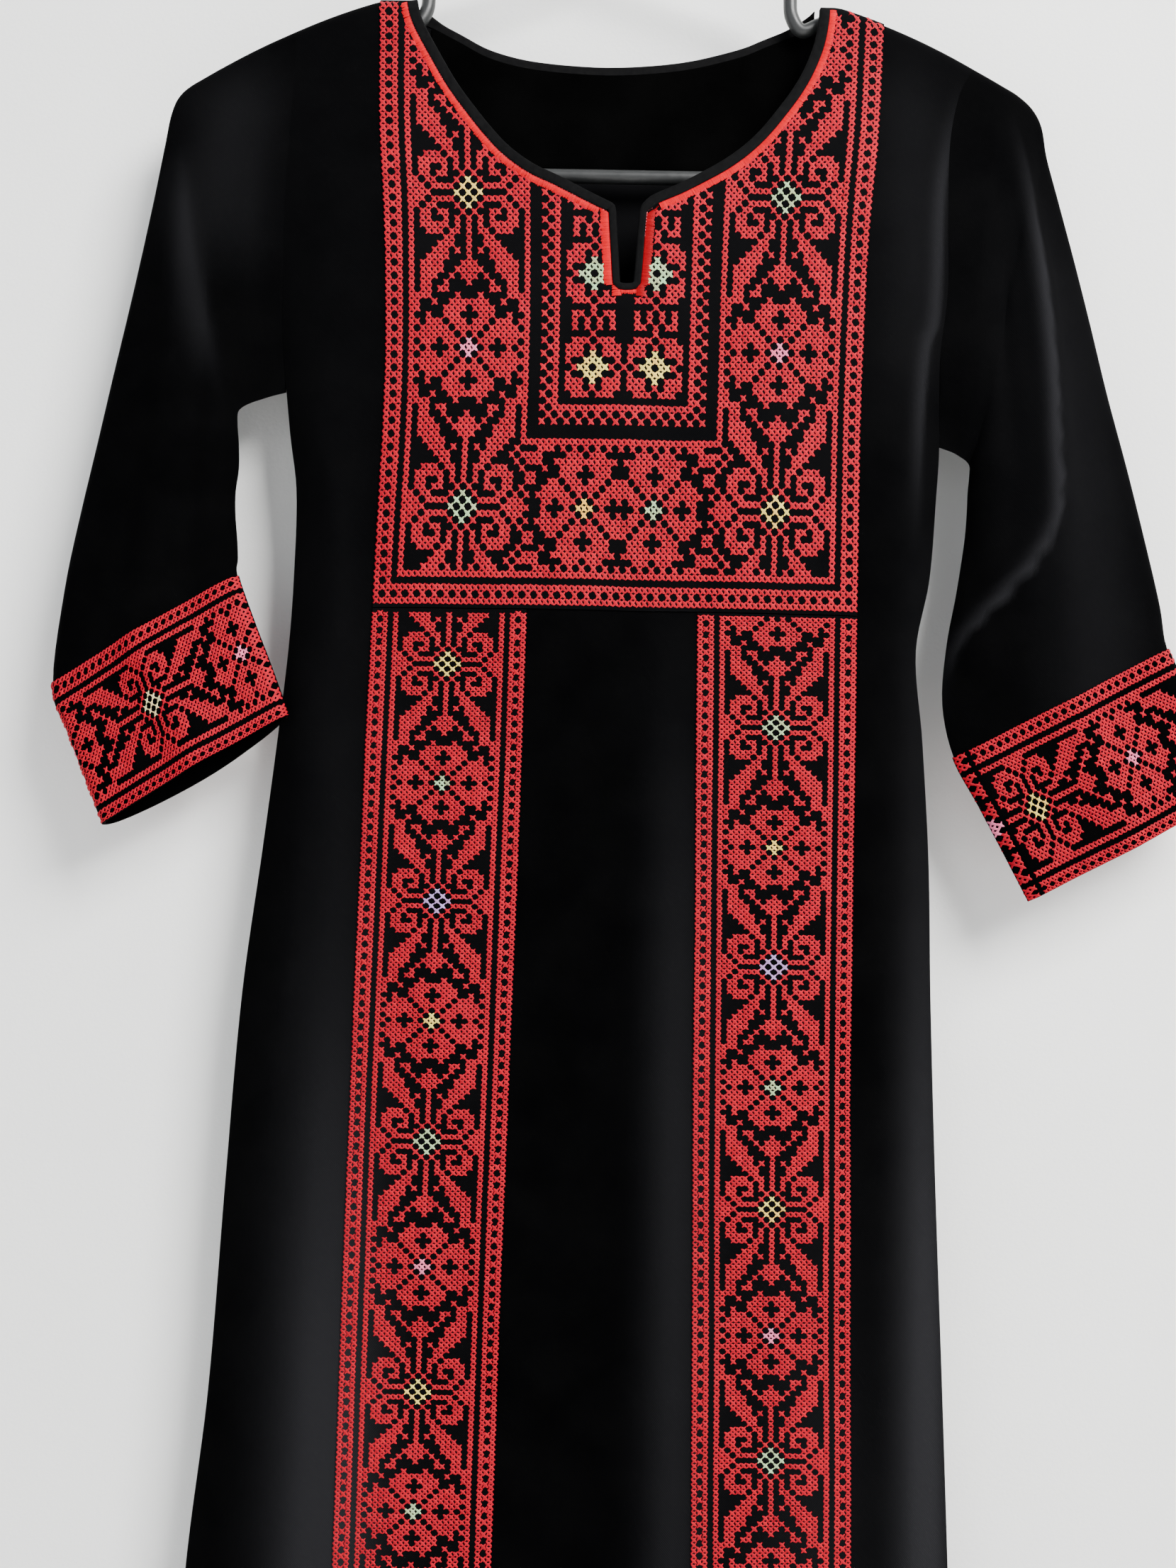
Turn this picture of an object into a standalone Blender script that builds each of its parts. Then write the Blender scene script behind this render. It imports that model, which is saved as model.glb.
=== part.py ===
"""Girl's embroidered thobe dress, hanging flat on a notched tubular hanger.

Metres. The origin is the inside top of the hanger's hook, +X is to the
viewer's right, +Y goes back to the wall behind the dress and +Z is up.
"""

import math

import bpy
from mathutils import Vector

for old in list(bpy.data.objects):
    bpy.data.objects.remove(old, do_unlink=True)

# Cloth walls and the gaps between the pieces
CLOTH = 0.0016
EMBROIDERED_CLOTH = 0.0010
BINDING_CLOTH = 0.0010
LAY_GAP = 0.0003
SEAM_HALF_GAP = 0.00015
ARMHOLE_GAP = 0.0004
MERGE = 0.00005
NORMAL_STEP = 0.0004

# Hanger, a plastic tube bent to 420 mm across, with a notch in each arm
TUBE_RADIUS = 0.0035
HOOK_RADIUS = 0.0225
HOOK_CENTRE_Z = -0.0190
HOOK_TIP_ANGLE = 200
HOOK_FOOT_ANGLE = -55
HOOK_STEPS = 18
APEX_Z = -0.0560
ARM_START_X = 0.115
ARM_START_Z = -0.1065
ARM_SLOPE = 0.30
ARM_BEND = 1.9
BAR_Z = -0.188

# Garment heights and the rise of the cloth over the hanger's arm
SEAM_RISE = 0.0044
HEM_Z = -1.190
ARMPIT_LEFT_Z = -0.299
ARMPIT_RIGHT_Z = -0.321
PANEL_FOOT_Z = -0.4110
BAND_HEAD_Z = -0.4115
FOLD_RADIUS = 0.0065
SLEEVE_FOLD_RADIUS = 0.0049

# How the cloth fills out: runs below the shoulder seam and above the armpit
# over which it comes to its full depth, the share that stays open at the
# armhole, how flat the body is between its seams, and how soon folds show
SHOULDER_RUN = 0.09
ARMHOLE_RUN = 0.09
ARMHOLE_SHARE = 0.18
SLEEVE_RUN = 0.05
FLATNESS = 6
FOLD_ONSET = 1.6

# Body sections: height, side edges, then how far front and back stand out
#    z       left     right   front   back
BODY_SECTIONS = (
    (-0.090, -0.1560, 0.1850, 0.0120, 0.0080),
    (-0.130, -0.1565, 0.1830, 0.0130, 0.0085),
    (-0.145, -0.1570, 0.1760, 0.0135, 0.0090),
    (-0.172, -0.1580, 0.1705, 0.0145, 0.0095),
    (-0.212, -0.1590, 0.1690, 0.0160, 0.0100),
    (-0.248, -0.1590, 0.1690, 0.0170, 0.0105),
    (-0.280, -0.1590, 0.1660, 0.0180, 0.0110),
    (-0.321, -0.1550, 0.1675, 0.0190, 0.0115),
    (-0.350, -0.1510, 0.1660, 0.0195, 0.0120),
    (-0.390, -0.1510, 0.1630, 0.0200, 0.0120),
    (-0.426, -0.1525, 0.1565, 0.0205, 0.0125),
    (-0.470, -0.1565, 0.1600, 0.0215, 0.0130),
    (-0.530, -0.1630, 0.1635, 0.0225, 0.0135),
    (-0.600, -0.1710, 0.1650, 0.0235, 0.0140),
    (-0.690, -0.1765, 0.1680, 0.0250, 0.0145),
    (-0.790, -0.1820, 0.1720, 0.0265, 0.0150),
    (-0.870, -0.1900, 0.1750, 0.0280, 0.0155),
    (-1.190, -0.2130, 0.1870, 0.0330, 0.0180),
)
SECTION_LEFT, SECTION_RIGHT, SECTION_FRONT, SECTION_BACK = 1, 2, 3, 4

# Edges of the embroidery: the chest panel above, the skirt bands below
#    z       left band's edges  right band's edges
EMBROIDERY_SECTIONS = (
    (-0.100, -0.1150, -0.0400, 0.0500, 0.1380),
    (-0.160, -0.1130, -0.0390, 0.0500, 0.1345),
    (-0.225, -0.1085, -0.0370, 0.0490, 0.1290),
    (-0.300, -0.1065, -0.0355, 0.0480, 0.1260),
    (-0.411, -0.1095, -0.0350, 0.0475, 0.1245),
    (-0.640, -0.1140, -0.0392, 0.0484, 0.1230),
    (-0.862, -0.1163, -0.0430, 0.0498, 0.1246),
    (-1.190, -0.1205, -0.0472, 0.0515, 0.1270),
)

# Soft upright folds: place at the armpit and at the hem, where each starts
# to show, how far it stands out at the hem and how wide it is
#    x_top    x_hem    z_start  stands   width
FRONT_FOLDS = (
    (-0.1300, -0.1560, -0.36, 0.0050, 0.020),
    (-0.1480, -0.1900, -0.50, -0.0060, 0.012),
    (0.0020, -0.0050, -0.40, -0.0070, 0.022),
    (0.0330, 0.0330, -0.42, 0.0030, 0.012),
    (0.1400, 0.1560, -0.38, 0.0055, 0.016),
    (-0.0720, -0.0850, -0.60, 0.0020, 0.024),
    (0.0860, 0.0900, -0.60, -0.0020, 0.024),
)
BACK_FOLDS = (
    (-0.1150, -0.1450, -0.36, 0.0050, 0.020),
    (-0.0450, -0.0600, -0.30, -0.0045, 0.020),
    (0.0250, 0.0200, -0.34, 0.0045, 0.022),
    (0.0850, 0.0950, -0.32, -0.0040, 0.018),
    (0.1350, 0.1500, -0.40, 0.0040, 0.016),
)

# Rows of the body's grid: level at the neck, and how much of the shoulder's
# slant the row keeps
#    z        slant
BODY_ROWS = (
    (-0.1021, 1.00), (-0.1028, 1.00), (-0.1046, 1.00), (-0.1086, 1.00),
    (-0.1200, 0.95), (-0.1420, 0.75), (-0.1700, 0.50), (-0.2000, 0.28),
    (-0.2300, 0.12), (-0.2600, 0.00), (-0.2850, 0.00), (ARMPIT_LEFT_Z, 0.00),
    (ARMPIT_RIGHT_Z, 0.00),
    (-0.3450, 0.00), (-0.3780, 0.00), (PANEL_FOOT_Z, 0.00), (BAND_HEAD_Z, 0.00),
    (-0.4550, 0.00), (-0.5100, 0.00), (-0.5700, 0.00), (-0.6350, 0.00),
    (-0.7050, 0.00), (-0.7800, 0.00), (-0.8600, 0.00), (-0.9400, 0.00),
    (-1.0200, 0.00), (-1.1050, 0.00), (HEM_Z, 0.00),
)
SEAM_LEVEL = BODY_ROWS[0][0]
LEFT_ARMPIT_ROW = 11
RIGHT_ARMPIT_ROW = 12
PANEL_LAST_ROW = 15
BAND_FIRST_ROW = 16
SIDE_COLUMNS = (0.0, 0.14, 0.38, 0.68, 1.0)
BAND_COLUMNS = (0.0, 0.25, 0.5, 0.75, 1.0)
CENTRE_COLUMNS = (0.0, 0.2, 0.4, 0.6, 0.8, 1.0)

# Neckline, half open for the front with its slit, shallow for the back
FRONT_NECK = (
    (-0.0975, -0.085), (-0.0975, -0.102), (-0.0940, -0.114), (-0.0848, -0.1316),
    (-0.0760, -0.1470), (-0.0663, -0.1607), (-0.0570, -0.1725), (-0.0480, -0.1821),
    (-0.0365, -0.1905), (-0.0244, -0.1963), (-0.0120, -0.2025), (-0.0012, -0.2077),
    (0.0036, -0.2110), (0.0048, -0.2193), (0.0062, -0.2350), (0.0072, -0.2498),
    (0.0143, -0.2498), (0.0155, -0.2350), (0.0167, -0.2155), (0.0184, -0.2102),
    (0.0235, -0.2054), (0.0350, -0.1998), (0.0467, -0.1933), (0.0575, -0.1865),
    (0.0678, -0.1783), (0.0770, -0.1690), (0.0854, -0.1580), (0.0925, -0.1475),
    (0.0985, -0.1360), (0.1035, -0.1220), (0.1058, -0.1080), (0.1065, -0.098),
    (0.1065, -0.085),
)
BACK_NECK = (
    (-0.0975, -0.085), (-0.0975, -0.1020), (-0.0890, -0.1060), (-0.0758, -0.1128),
    (-0.0594, -0.1210), (-0.0354, -0.1265), (0.0000, -0.1285), (0.0367, -0.1255),
    (0.0654, -0.1185), (0.0800, -0.1125), (0.0980, -0.1050), (0.1065, -0.1020),
    (0.1065, -0.085),
)
NECK_FIRST, FRONT_NECK_LAST, BACK_NECK_LAST = 2, 30, 10
BINDING_WIDTH = 0.0044
BACK_BINDING_GAP = 0.0008
BINDING_COLUMNS = 2
MITRE_LIMIT = 0.5
# Where the neck cutters start and end through the front and the back
FRONT_CUT_Y = (-0.08, 0.02)
BACK_CUT_Y = (-0.02, 0.08)

# Facing inside the back neck
FACING_LEFT, FACING_RIGHT = -0.078, 0.084
FACING_HEAD_DROP = 0.004
FACING_FOOT_Z = -0.1800
FACING_COLUMNS, FACING_ROWS = 12, 4

# Sleeve rings: outer and inner edge of the flat sleeve, how far it stands out
# from its middle, and how far that middle lies in front of the hanger
#    outer x  outer z   inner x   inner z   stands  forward
SLEEVE_LEFT_RINGS = (
    (-0.1560, None, -0.1592, -0.2990, 0.0120, 0.0000),
    (-0.1700, None, -0.1650, -0.3010, 0.0110, 0.0000),
    (-0.1860, None, -0.1710, -0.3030, 0.0105, 0.0000),
    (-0.2010, None, -0.1765, -0.3050, 0.0100, 0.0000),
    (-0.2125, -0.1500, -0.1810, -0.3075, 0.0100, 0.0000),
    (-0.2175, -0.1600, -0.1835, -0.3110, 0.0100, 0.0002),
    (-0.2205, -0.1780, -0.1835, -0.3180, 0.0100, 0.0004),
    (-0.2245, -0.2030, -0.1825, -0.3280, 0.0100, 0.0008),
    (-0.2310, -0.2380, -0.1820, -0.3400, 0.0100, 0.0015),
    (-0.2390, -0.2800, -0.1830, -0.3520, 0.0095, 0.0026),
    (-0.2470, -0.3220, -0.1825, -0.3640, 0.0090, 0.0038),
    (-0.2550, -0.3640, -0.1810, -0.3760, 0.0085, 0.0052),
    (-0.2615, -0.4050, -0.1800, -0.3860, 0.0080, 0.0068),
    (-0.2650, -0.4500, -0.1795, -0.3955, 0.0075, 0.0086),
    (-0.2565, -0.4725, -0.1710, -0.4180, 0.0075, 0.0096),
    (-0.2470, -0.4950, -0.1615, -0.4410, 0.0075, 0.0104),
    (-0.2375, -0.5175, -0.1525, -0.4640, 0.0075, 0.0110),
)
SLEEVE_RIGHT_RINGS = (
    (0.1835, None, 0.1680, -0.3210, 0.0120, 0.0000),
    (0.1910, None, 0.1720, -0.3225, 0.0110, 0.0000),
    (0.1980, None, 0.1760, -0.3240, 0.0105, 0.0000),
    (0.2050, None, 0.1795, -0.3260, 0.0100, 0.0000),
    (0.2120, -0.1510, 0.1830, -0.3285, 0.0100, 0.0000),
    (0.2165, -0.1600, 0.1850, -0.3320, 0.0100, 0.0002),
    (0.2190, -0.1750, 0.1848, -0.3380, 0.0100, 0.0004),
    (0.2245, -0.1960, 0.1840, -0.3460, 0.0100, 0.0008),
    (0.2320, -0.2250, 0.1835, -0.3560, 0.0100, 0.0013),
    (0.2400, -0.2580, 0.1825, -0.3680, 0.0095, 0.0020),
    (0.2490, -0.2960, 0.1805, -0.3820, 0.0090, 0.0028),
    (0.2590, -0.3340, 0.1775, -0.4000, 0.0090, 0.0036),
    (0.2680, -0.3720, 0.1730, -0.4240, 0.0085, 0.0046),
    (0.2745, -0.4020, 0.1710, -0.4520, 0.0080, 0.0056),
    (0.2780, -0.4235, 0.1765, -0.4775, 0.0075, 0.0062),
    (0.2895, -0.4465, 0.1890, -0.5005, 0.0075, 0.0066),
    (0.3010, -0.4695, 0.2015, -0.5240, 0.0075, 0.0070),
    (0.3125, -0.4920, 0.2135, -0.5470, 0.0075, 0.0074),
)
ARMHOLE_RINGS = 5.0
LEFT_CUFF_RING = 13
RIGHT_CUFF_RING = 14
# Long soft ridges on the sleeves: station on the ring at the cap and at the
# cuff, height and width in stations
#    cap   cuff  stands  width
SLEEVE_RIDGES = (
    (0.10, 0.55, 0.0030, 0.10),
    (0.45, 0.85, -0.0025, 0.12),
)
RIDGE_ONSET = 4.0

# Colours as seen, linear red, green and blue
BLACK_CREPE = (0.012, 0.012, 0.014)
RED_STITCH = (0.60, 0.010, 0.022)
HANGER_GREY = (0.060, 0.062, 0.062)


def smooth(value):
    """Soft step from 0 to 1."""
    value = min(max(value, 0.0), 1.0)
    return value * value * (3.0 - 2.0 * value)


def section_value(sections, z, column):
    """A column of a table at height z, on a curve through its rows."""
    heights = [row[0] for row in sections]
    z = min(max(z, heights[-1]), heights[0])
    index = 0
    while index < len(sections) - 2 and z < heights[index + 1]:
        index += 1
    span = heights[index] - heights[index + 1]
    share = (heights[index] - z) / span

    def slope(at):
        before, after = max(at - 1, 0), min(at + 1, len(sections) - 1)
        drop = heights[before] - heights[after]
        return (sections[after][column] - sections[before][column]) / drop

    start, end = sections[index][column], sections[index + 1][column]
    square, cube = share ** 2, share ** 3
    return ((2 * cube - 3 * square + 1) * start
            + (cube - 2 * square + share) * span * slope(index)
            + (3 * square - 2 * cube) * end
            + (cube - square) * span * slope(index + 1))


def arm_z(x):
    """Height of the hanger's arm at its middle, bent a little down to its end."""
    beyond = max(abs(x) - ARM_START_X, 0.0)
    return ARM_START_Z - ARM_SLOPE * beyond - ARM_BEND * beyond ** 2


def seam_z(x):
    """Height of the shoulder seam's inner face, on top of the hanger's arm."""
    return arm_z(x) + SEAM_RISE


def over_arm(drop, radius):
    """Half depth of the cloth that bends over the arm, at a drop below its top."""
    rest = 1.0 - min(max(drop, 0.0) / radius, 1.0)
    return radius * math.sqrt(1.0 - rest * rest)


def fold_depth(folds, x, z):
    """Sum of the soft upright folds at a place on the body."""
    total = 0.0
    for x_top, x_hem, z_start, stands, width in folds:
        if z >= z_start:
            continue
        run = (z_start - z) / (z_start - HEM_Z)
        middle = x_top + (x_hem - x_top) * (ARMPIT_LEFT_Z - z) / (ARMPIT_LEFT_Z - HEM_Z)
        total += stands * smooth(FOLD_ONSET * run) * math.exp(-((x - middle) / width) ** 2)
    return total


def closing(x, z):
    """1 in the middle of the body, 0 at the side seams, part open at armholes."""
    left = section_value(BODY_SECTIONS, z, SECTION_LEFT)
    right = section_value(BODY_SECTIONS, z, SECTION_RIGHT)
    across = 2.0 * (x - left) / (right - left) - 1.0
    armpit = ARMPIT_LEFT_Z if across < 0.0 else ARMPIT_RIGHT_Z
    reach = 1.0 - ARMHOLE_SHARE * smooth((z - armpit) / ARMHOLE_RUN)
    return 1.0 - min(abs(across) * reach, 1.0) ** FLATNESS


def body_depth(x, z, column, folds):
    """How far the inner face of the front or back stands from the mid plane."""
    top = over_arm(seam_z(x) - z, FOLD_RADIUS)
    full = section_value(BODY_SECTIONS, z, column) + fold_depth(folds, x, z)
    run = smooth((seam_z(x) - z) / SHOULDER_RUN)
    return closing(x, z) * (top + (full - FOLD_RADIUS) * run)


def front_point(x, z):
    return Vector((x, -SEAM_HALF_GAP - body_depth(x, z, SECTION_FRONT, FRONT_FOLDS), z))


def back_point(x, z):
    return Vector((x, SEAM_HALF_GAP + body_depth(x, z, SECTION_BACK, BACK_FOLDS), z))


def surface_normal(place, x, z, outward):
    """Unit normal of a body surface, on the side of the outward Y sign."""
    along = place(x + NORMAL_STEP, z) - place(x - NORMAL_STEP, z)
    down = place(x, z - NORMAL_STEP) - place(x, z)
    normal = along.cross(down).normalized()
    return normal if normal.y * outward > 0.0 else -normal


def body_column_x(z):
    """X of every column of the body's grid at height z."""
    edges = [section_value(EMBROIDERY_SECTIONS, z, column) for column in range(1, 5)]
    left = section_value(BODY_SECTIONS, z, SECTION_LEFT)
    right = section_value(BODY_SECTIONS, z, SECTION_RIGHT)
    outline = [left] + edges + [right]
    mirrored_side = tuple(1.0 - share for share in reversed(SIDE_COLUMNS))
    shares = (SIDE_COLUMNS, BAND_COLUMNS, CENTRE_COLUMNS, BAND_COLUMNS, mirrored_side)
    columns = [outline[0]]
    for start, end, inside in zip(outline, outline[1:], shares):
        columns += [start + (end - start) * share for share in inside[1:]]
    return columns


def body_grid(place):
    """Rows of points on the inner face of the front or back."""
    count = len(body_column_x(HEM_Z))
    rows = []
    for level, slant in BODY_ROWS:
        row = []
        for column in range(count):
            z = level
            for _ in range(3):
                x = body_column_x(z)[column]
                z = level + slant * (seam_z(x) - SEAM_LEVEL)
            row.append(place(x, z))
        rows.append(row)
    return rows


def new_material(name, colour, roughness):
    material = bpy.data.materials.new(name)
    material.use_nodes = True
    shader = material.node_tree.nodes["Principled BSDF"]
    shader.inputs["Base Color"].default_value = (*colour, 1.0)
    shader.inputs["Roughness"].default_value = roughness
    return material


def add_object(name, mesh, collection, material):
    piece = bpy.data.objects.new(name, mesh)
    collection.objects.link(piece)
    piece.data.materials.append(material)
    piece.data.shade_smooth()
    return piece


def grid_mesh(name, rows, closed=False, flip=False):
    """Mesh of a grid of points; closed joins the last column to the first."""
    count = len(rows[0])
    points = [point for row in rows for point in row]
    faces = []
    last = count if closed else count - 1
    for row in range(len(rows) - 1):
        for column in range(last):
            after = (column + 1) % count
            face = (row * count + column, row * count + after,
                    (row + 1) * count + after, (row + 1) * count + column)
            faces.append(face[::-1] if flip else face)
    mesh = bpy.data.meshes.new(name)
    mesh.from_pydata(points, [], faces)
    mesh.update()
    return mesh


def add_cloth(name, mesh, thickness, material):
    """Cloth wall that grows outward from the mesh's faces."""
    piece = add_object(name, mesh, garment, material)
    wall = piece.modifiers.new("Wall", "SOLIDIFY")
    wall.thickness = thickness
    wall.offset = 1.0
    return piece


def moved_out(mesh, row_size, rows, columns, distance):
    """Part of a grid mesh's points, moved along its vertex normals."""
    moved = []
    for row in rows:
        line = []
        for column in columns:
            vertex = mesh.vertices[row * row_size + column]
            line.append(vertex.co + vertex.normal * distance)
        moved.append(line)
    return moved


def add_neck_cutter(name, outline, y_start, y_end):
    """Prism of the neck opening, wider than the cloth it goes through."""
    curve = bpy.data.curves.new(name, "CURVE")
    curve.dimensions = "2D"
    curve.fill_mode = "BOTH"
    curve.extrude = abs(y_end - y_start) / 2
    spline = curve.splines.new("POLY")
    spline.points.add(len(outline) - 1)
    spline.use_cyclic_u = True
    for point, (x, z) in zip(spline.points, outline):
        point.co = (x, z, 0.0, 1.0)
    shape = bpy.data.objects.new(name + "_outline", curve)
    cutters.objects.link(shape)
    shape.rotation_euler = (math.pi / 2, 0.0, 0.0)
    shape.location.y = (y_start + y_end) / 2
    bpy.context.view_layer.update()
    evaluated = shape.evaluated_get(bpy.context.evaluated_depsgraph_get())
    cutter = bpy.data.objects.new(name, bpy.data.meshes.new_from_object(evaluated))
    cutters.objects.link(cutter)
    cutter.matrix_world = shape.matrix_world.copy()
    bpy.data.objects.remove(shape, do_unlink=True)
    weld = cutter.modifiers.new("Weld", "WELD")
    weld.merge_threshold = MERGE
    cutter.hide_render = True
    cutter.display_type = "WIRE"
    return cutter


def cut(piece, cutter):
    opening = piece.modifiers.new("Neck opening", "BOOLEAN")
    opening.operation = "DIFFERENCE"
    opening.object = cutter
    opening.solver = "EXACT"


def neck_strip(outline, first, last, place, outward, lift):
    """Rows of points across a strip that follows the neck's edge."""
    rows = []
    for index in range(first, last + 1):
        here = Vector(outline[index])
        into = (here - Vector(outline[index - 1])).normalized()
        out = (Vector(outline[index + 1]) - here).normalized()
        middle = (into + out).normalized()
        widen = 1.0 / max(middle.dot(into), MITRE_LIMIT)
        across = Vector((middle.y, -middle.x)) * widen
        row = []
        for column in range(BINDING_COLUMNS + 1):
            x, z = here + across * (BINDING_WIDTH * column / BINDING_COLUMNS)
            row.append(place(x, z) + surface_normal(place, x, z, outward) * lift)
        rows.append(row)
    return rows


def sleeve_station(ring, share):
    """Point on the straight line across a flat sleeve ring."""
    outer_x, outer_z, inner_x, inner_z = ring[:4]
    if outer_z is None:
        outer_z = seam_z(outer_x)
    return outer_x + (inner_x - outer_x) * share, outer_z + (inner_z - outer_z) * share


def sleeve_half(ring, index, last, edge):
    """Half of a free ring between its edges, at the stations of the armhole edge."""
    outer = Vector(sleeve_station(ring, 0.0))
    length = (Vector(sleeve_station(ring, 1.0)) - outer).length
    at_armhole = 1.0 - smooth(index / ARMHOLE_RINGS)
    is_front = edge[1].y < 0.0
    half = []
    for point in edge[1:-1]:
        share = (edge[0].z - point.z) / (edge[0].z - edge[-1].z)
        x, z = sleeve_station(ring, share)
        top = over_arm(share * length, SLEEVE_FOLD_RADIUS)
        full = ring[4] * (1.0 - share ** FLATNESS)
        if is_front:
            full += ridge_depth(share, index / last)
        free = min(top, full) + max(full - top, 0.0) * smooth(share * length / SLEEVE_RUN)
        depth = abs(point.y) * at_armhole + free * (1.0 - at_armhole)
        half.append(Vector((x, (-depth if is_front else depth) - ring[5], z)))
    return half


def ridge_depth(share, along):
    """Height of the sleeve's soft lengthwise ridges at a station of a ring."""
    total = 0.0
    for cap, cuff, stands, width in SLEEVE_RIDGES:
        middle = cap + (cuff - cap) * along
        total += stands * smooth(RIDGE_ONSET * along) * math.exp(-((share - middle) / width) ** 2)
    return total * (1.0 - share ** FLATNESS)


def armhole_edge(mesh, side, armpit_row):
    """Points just outside a body panel's armhole, clear of its tilted edge."""
    row_size = len(body_column_x(HEM_Z))
    column = 0 if side < 0 else row_size - 1
    edge = []
    for row in range(armpit_row + 1):
        vertex = mesh.vertices[row * row_size + column]
        lean = max(side * vertex.normal.x, 0.0) * CLOTH
        edge.append(vertex.co + Vector((side * (ARMHOLE_GAP + lean), 0.0, 0.0)))
    return edge


def sleeve_rows(rings, front_edge, back_edge):
    """Closed rings of a sleeve: outer edge, front, underarm edge, back."""
    ends = [Vector((edge.x, 0.0, edge.z)) for edge in (front_edge[0], front_edge[-1])]
    rows = [ends[:1] + front_edge[1:-1] + ends[1:] + back_edge[1:-1][::-1]]
    last = len(rings) - 1
    for index, ring in enumerate(rings[1:], 1):
        outer_x, outer_z = sleeve_station(ring, 0.0)
        inner_x, inner_z = sleeve_station(ring, 1.0)
        rows.append([Vector((outer_x, -ring[5], outer_z))]
                    + sleeve_half(ring, index, last, front_edge)
                    + [Vector((inner_x, -ring[5], inner_z))]
                    + sleeve_half(ring, index, last, back_edge)[::-1])
    return rows


def rounded_path(corners, steps):
    """Points through a list of corners on a Catmull-Rom curve."""
    path = []
    for index in range(len(corners) - 1):
        before = Vector(corners[max(index - 1, 0)])
        start, end = Vector(corners[index]), Vector(corners[index + 1])
        after = Vector(corners[min(index + 2, len(corners) - 1)])
        for step in range(steps):
            t = step / steps
            path.append(0.5 * ((2 * start) + (end - before) * t
                               + (2 * before - 5 * start + 4 * end - after) * t ** 2
                               + (3 * start - before - 3 * end + after) * t ** 3))
    path.append(Vector(corners[-1]))
    return path


def tube_object(name, path, cyclic):
    """Mesh object of a round tube along points in the hanger's plane."""
    curve = bpy.data.curves.new(name, "CURVE")
    curve.dimensions = "3D"
    curve.bevel_depth = TUBE_RADIUS
    curve.bevel_resolution = 2
    curve.use_fill_caps = not cyclic
    spline = curve.splines.new("POLY")
    spline.points.add(len(path) - 1)
    spline.use_cyclic_u = cyclic
    for point, place in zip(spline.points, path):
        point.co = (place[0], 0.0, place[1], 1.0)
    shape = bpy.data.objects.new(name + "_curve", curve)
    garment.objects.link(shape)
    bpy.context.view_layer.update()
    evaluated = shape.evaluated_get(bpy.context.evaluated_depsgraph_get())
    mesh = bpy.data.meshes.new_from_object(evaluated)
    tube = bpy.data.objects.new(name, mesh)
    tube.matrix_world = shape.matrix_world.copy()
    bpy.data.objects.remove(shape, do_unlink=True)
    weld = tube.modifiers.new("Weld", "WELD")
    weld.merge_threshold = MERGE
    return tube


def add_body():
    """Front and back, with the embroidered panels laid on the front."""
    front_rows = body_grid(front_point)
    front_mesh = grid_mesh("front_body", front_rows, flip=True)
    front = add_cloth("front_body", front_mesh, CLOTH, black)
    back_mesh = grid_mesh("back_body", body_grid(back_point))
    back = add_cloth("back_body", back_mesh, CLOTH, black)

    row_size = len(front_rows[0])
    side_end = len(SIDE_COLUMNS) - 1
    band_steps = len(BAND_COLUMNS) - 1
    left_band = range(side_end, side_end + band_steps + 1)
    right_start = side_end + band_steps + len(CENTRE_COLUMNS) - 1
    right_band = range(right_start, right_start + band_steps + 1)
    panel = range(side_end, right_start + band_steps + 1)
    lift = CLOTH + LAY_GAP

    chest_rows = moved_out(front_mesh, row_size, range(PANEL_LAST_ROW + 1), panel, lift)
    chest_mesh = grid_mesh("chest_panel", chest_rows, flip=True)
    chest = add_cloth("chest_panel", chest_mesh, EMBROIDERED_CLOTH, red)
    for name, columns in (("skirt_band_left", left_band), ("skirt_band_right", right_band)):
        rows = range(BAND_FIRST_ROW, len(front_rows))
        band_mesh = grid_mesh(name, moved_out(front_mesh, row_size, rows, columns, lift),
                              flip=True)
        add_cloth(name, band_mesh, EMBROIDERED_CLOTH, red)

    front_cutter = add_neck_cutter("front_neck_cutter", FRONT_NECK, *FRONT_CUT_Y)
    back_cutter = add_neck_cutter("back_neck_cutter", BACK_NECK, *BACK_CUT_Y)
    cut(front, front_cutter)
    cut(chest, front_cutter)
    cut(back, back_cutter)


def add_bindings():
    """Binding strips laid along the neck's edge."""
    front_lift = CLOTH + LAY_GAP + EMBROIDERED_CLOTH + 2 * LAY_GAP
    front_rows = neck_strip(FRONT_NECK, NECK_FIRST, FRONT_NECK_LAST, front_point, -1, front_lift)
    add_cloth("neck_binding", grid_mesh("neck_binding", front_rows), BINDING_CLOTH, black)
    back_rows = neck_strip(BACK_NECK, NECK_FIRST, BACK_NECK_LAST, back_point, 1,
                           CLOTH + BACK_BINDING_GAP)
    add_cloth("back_neck_binding", grid_mesh("back_neck_binding", back_rows, flip=True),
              BINDING_CLOTH, black)


def add_facing():
    """Facing on the inner side of the back, below the back neck."""
    rows = []
    for row in range(FACING_ROWS + 1):
        line = []
        for column in range(FACING_COLUMNS + 1):
            x = FACING_LEFT + (FACING_RIGHT - FACING_LEFT) * column / FACING_COLUMNS
            head = neck_height(x) - FACING_HEAD_DROP
            z = head + (FACING_FOOT_Z - head) * row / FACING_ROWS
            line.append(back_point(x, z) - surface_normal(back_point, x, z, 1) * 2 * LAY_GAP)
        rows.append(line)
    add_cloth("back_neck_facing", grid_mesh("back_neck_facing", rows, flip=True),
              EMBROIDERED_CLOTH, black)


def neck_height(x):
    """Height of the back neck's edge at a place across it."""
    for (x_start, z_start), (x_end, z_end) in zip(BACK_NECK[1:], BACK_NECK[2:]):
        if x_start <= x <= x_end and x_end > x_start:
            return z_start + (z_end - z_start) * (x - x_start) / (x_end - x_start)
    return BACK_NECK[1][1]


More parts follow.
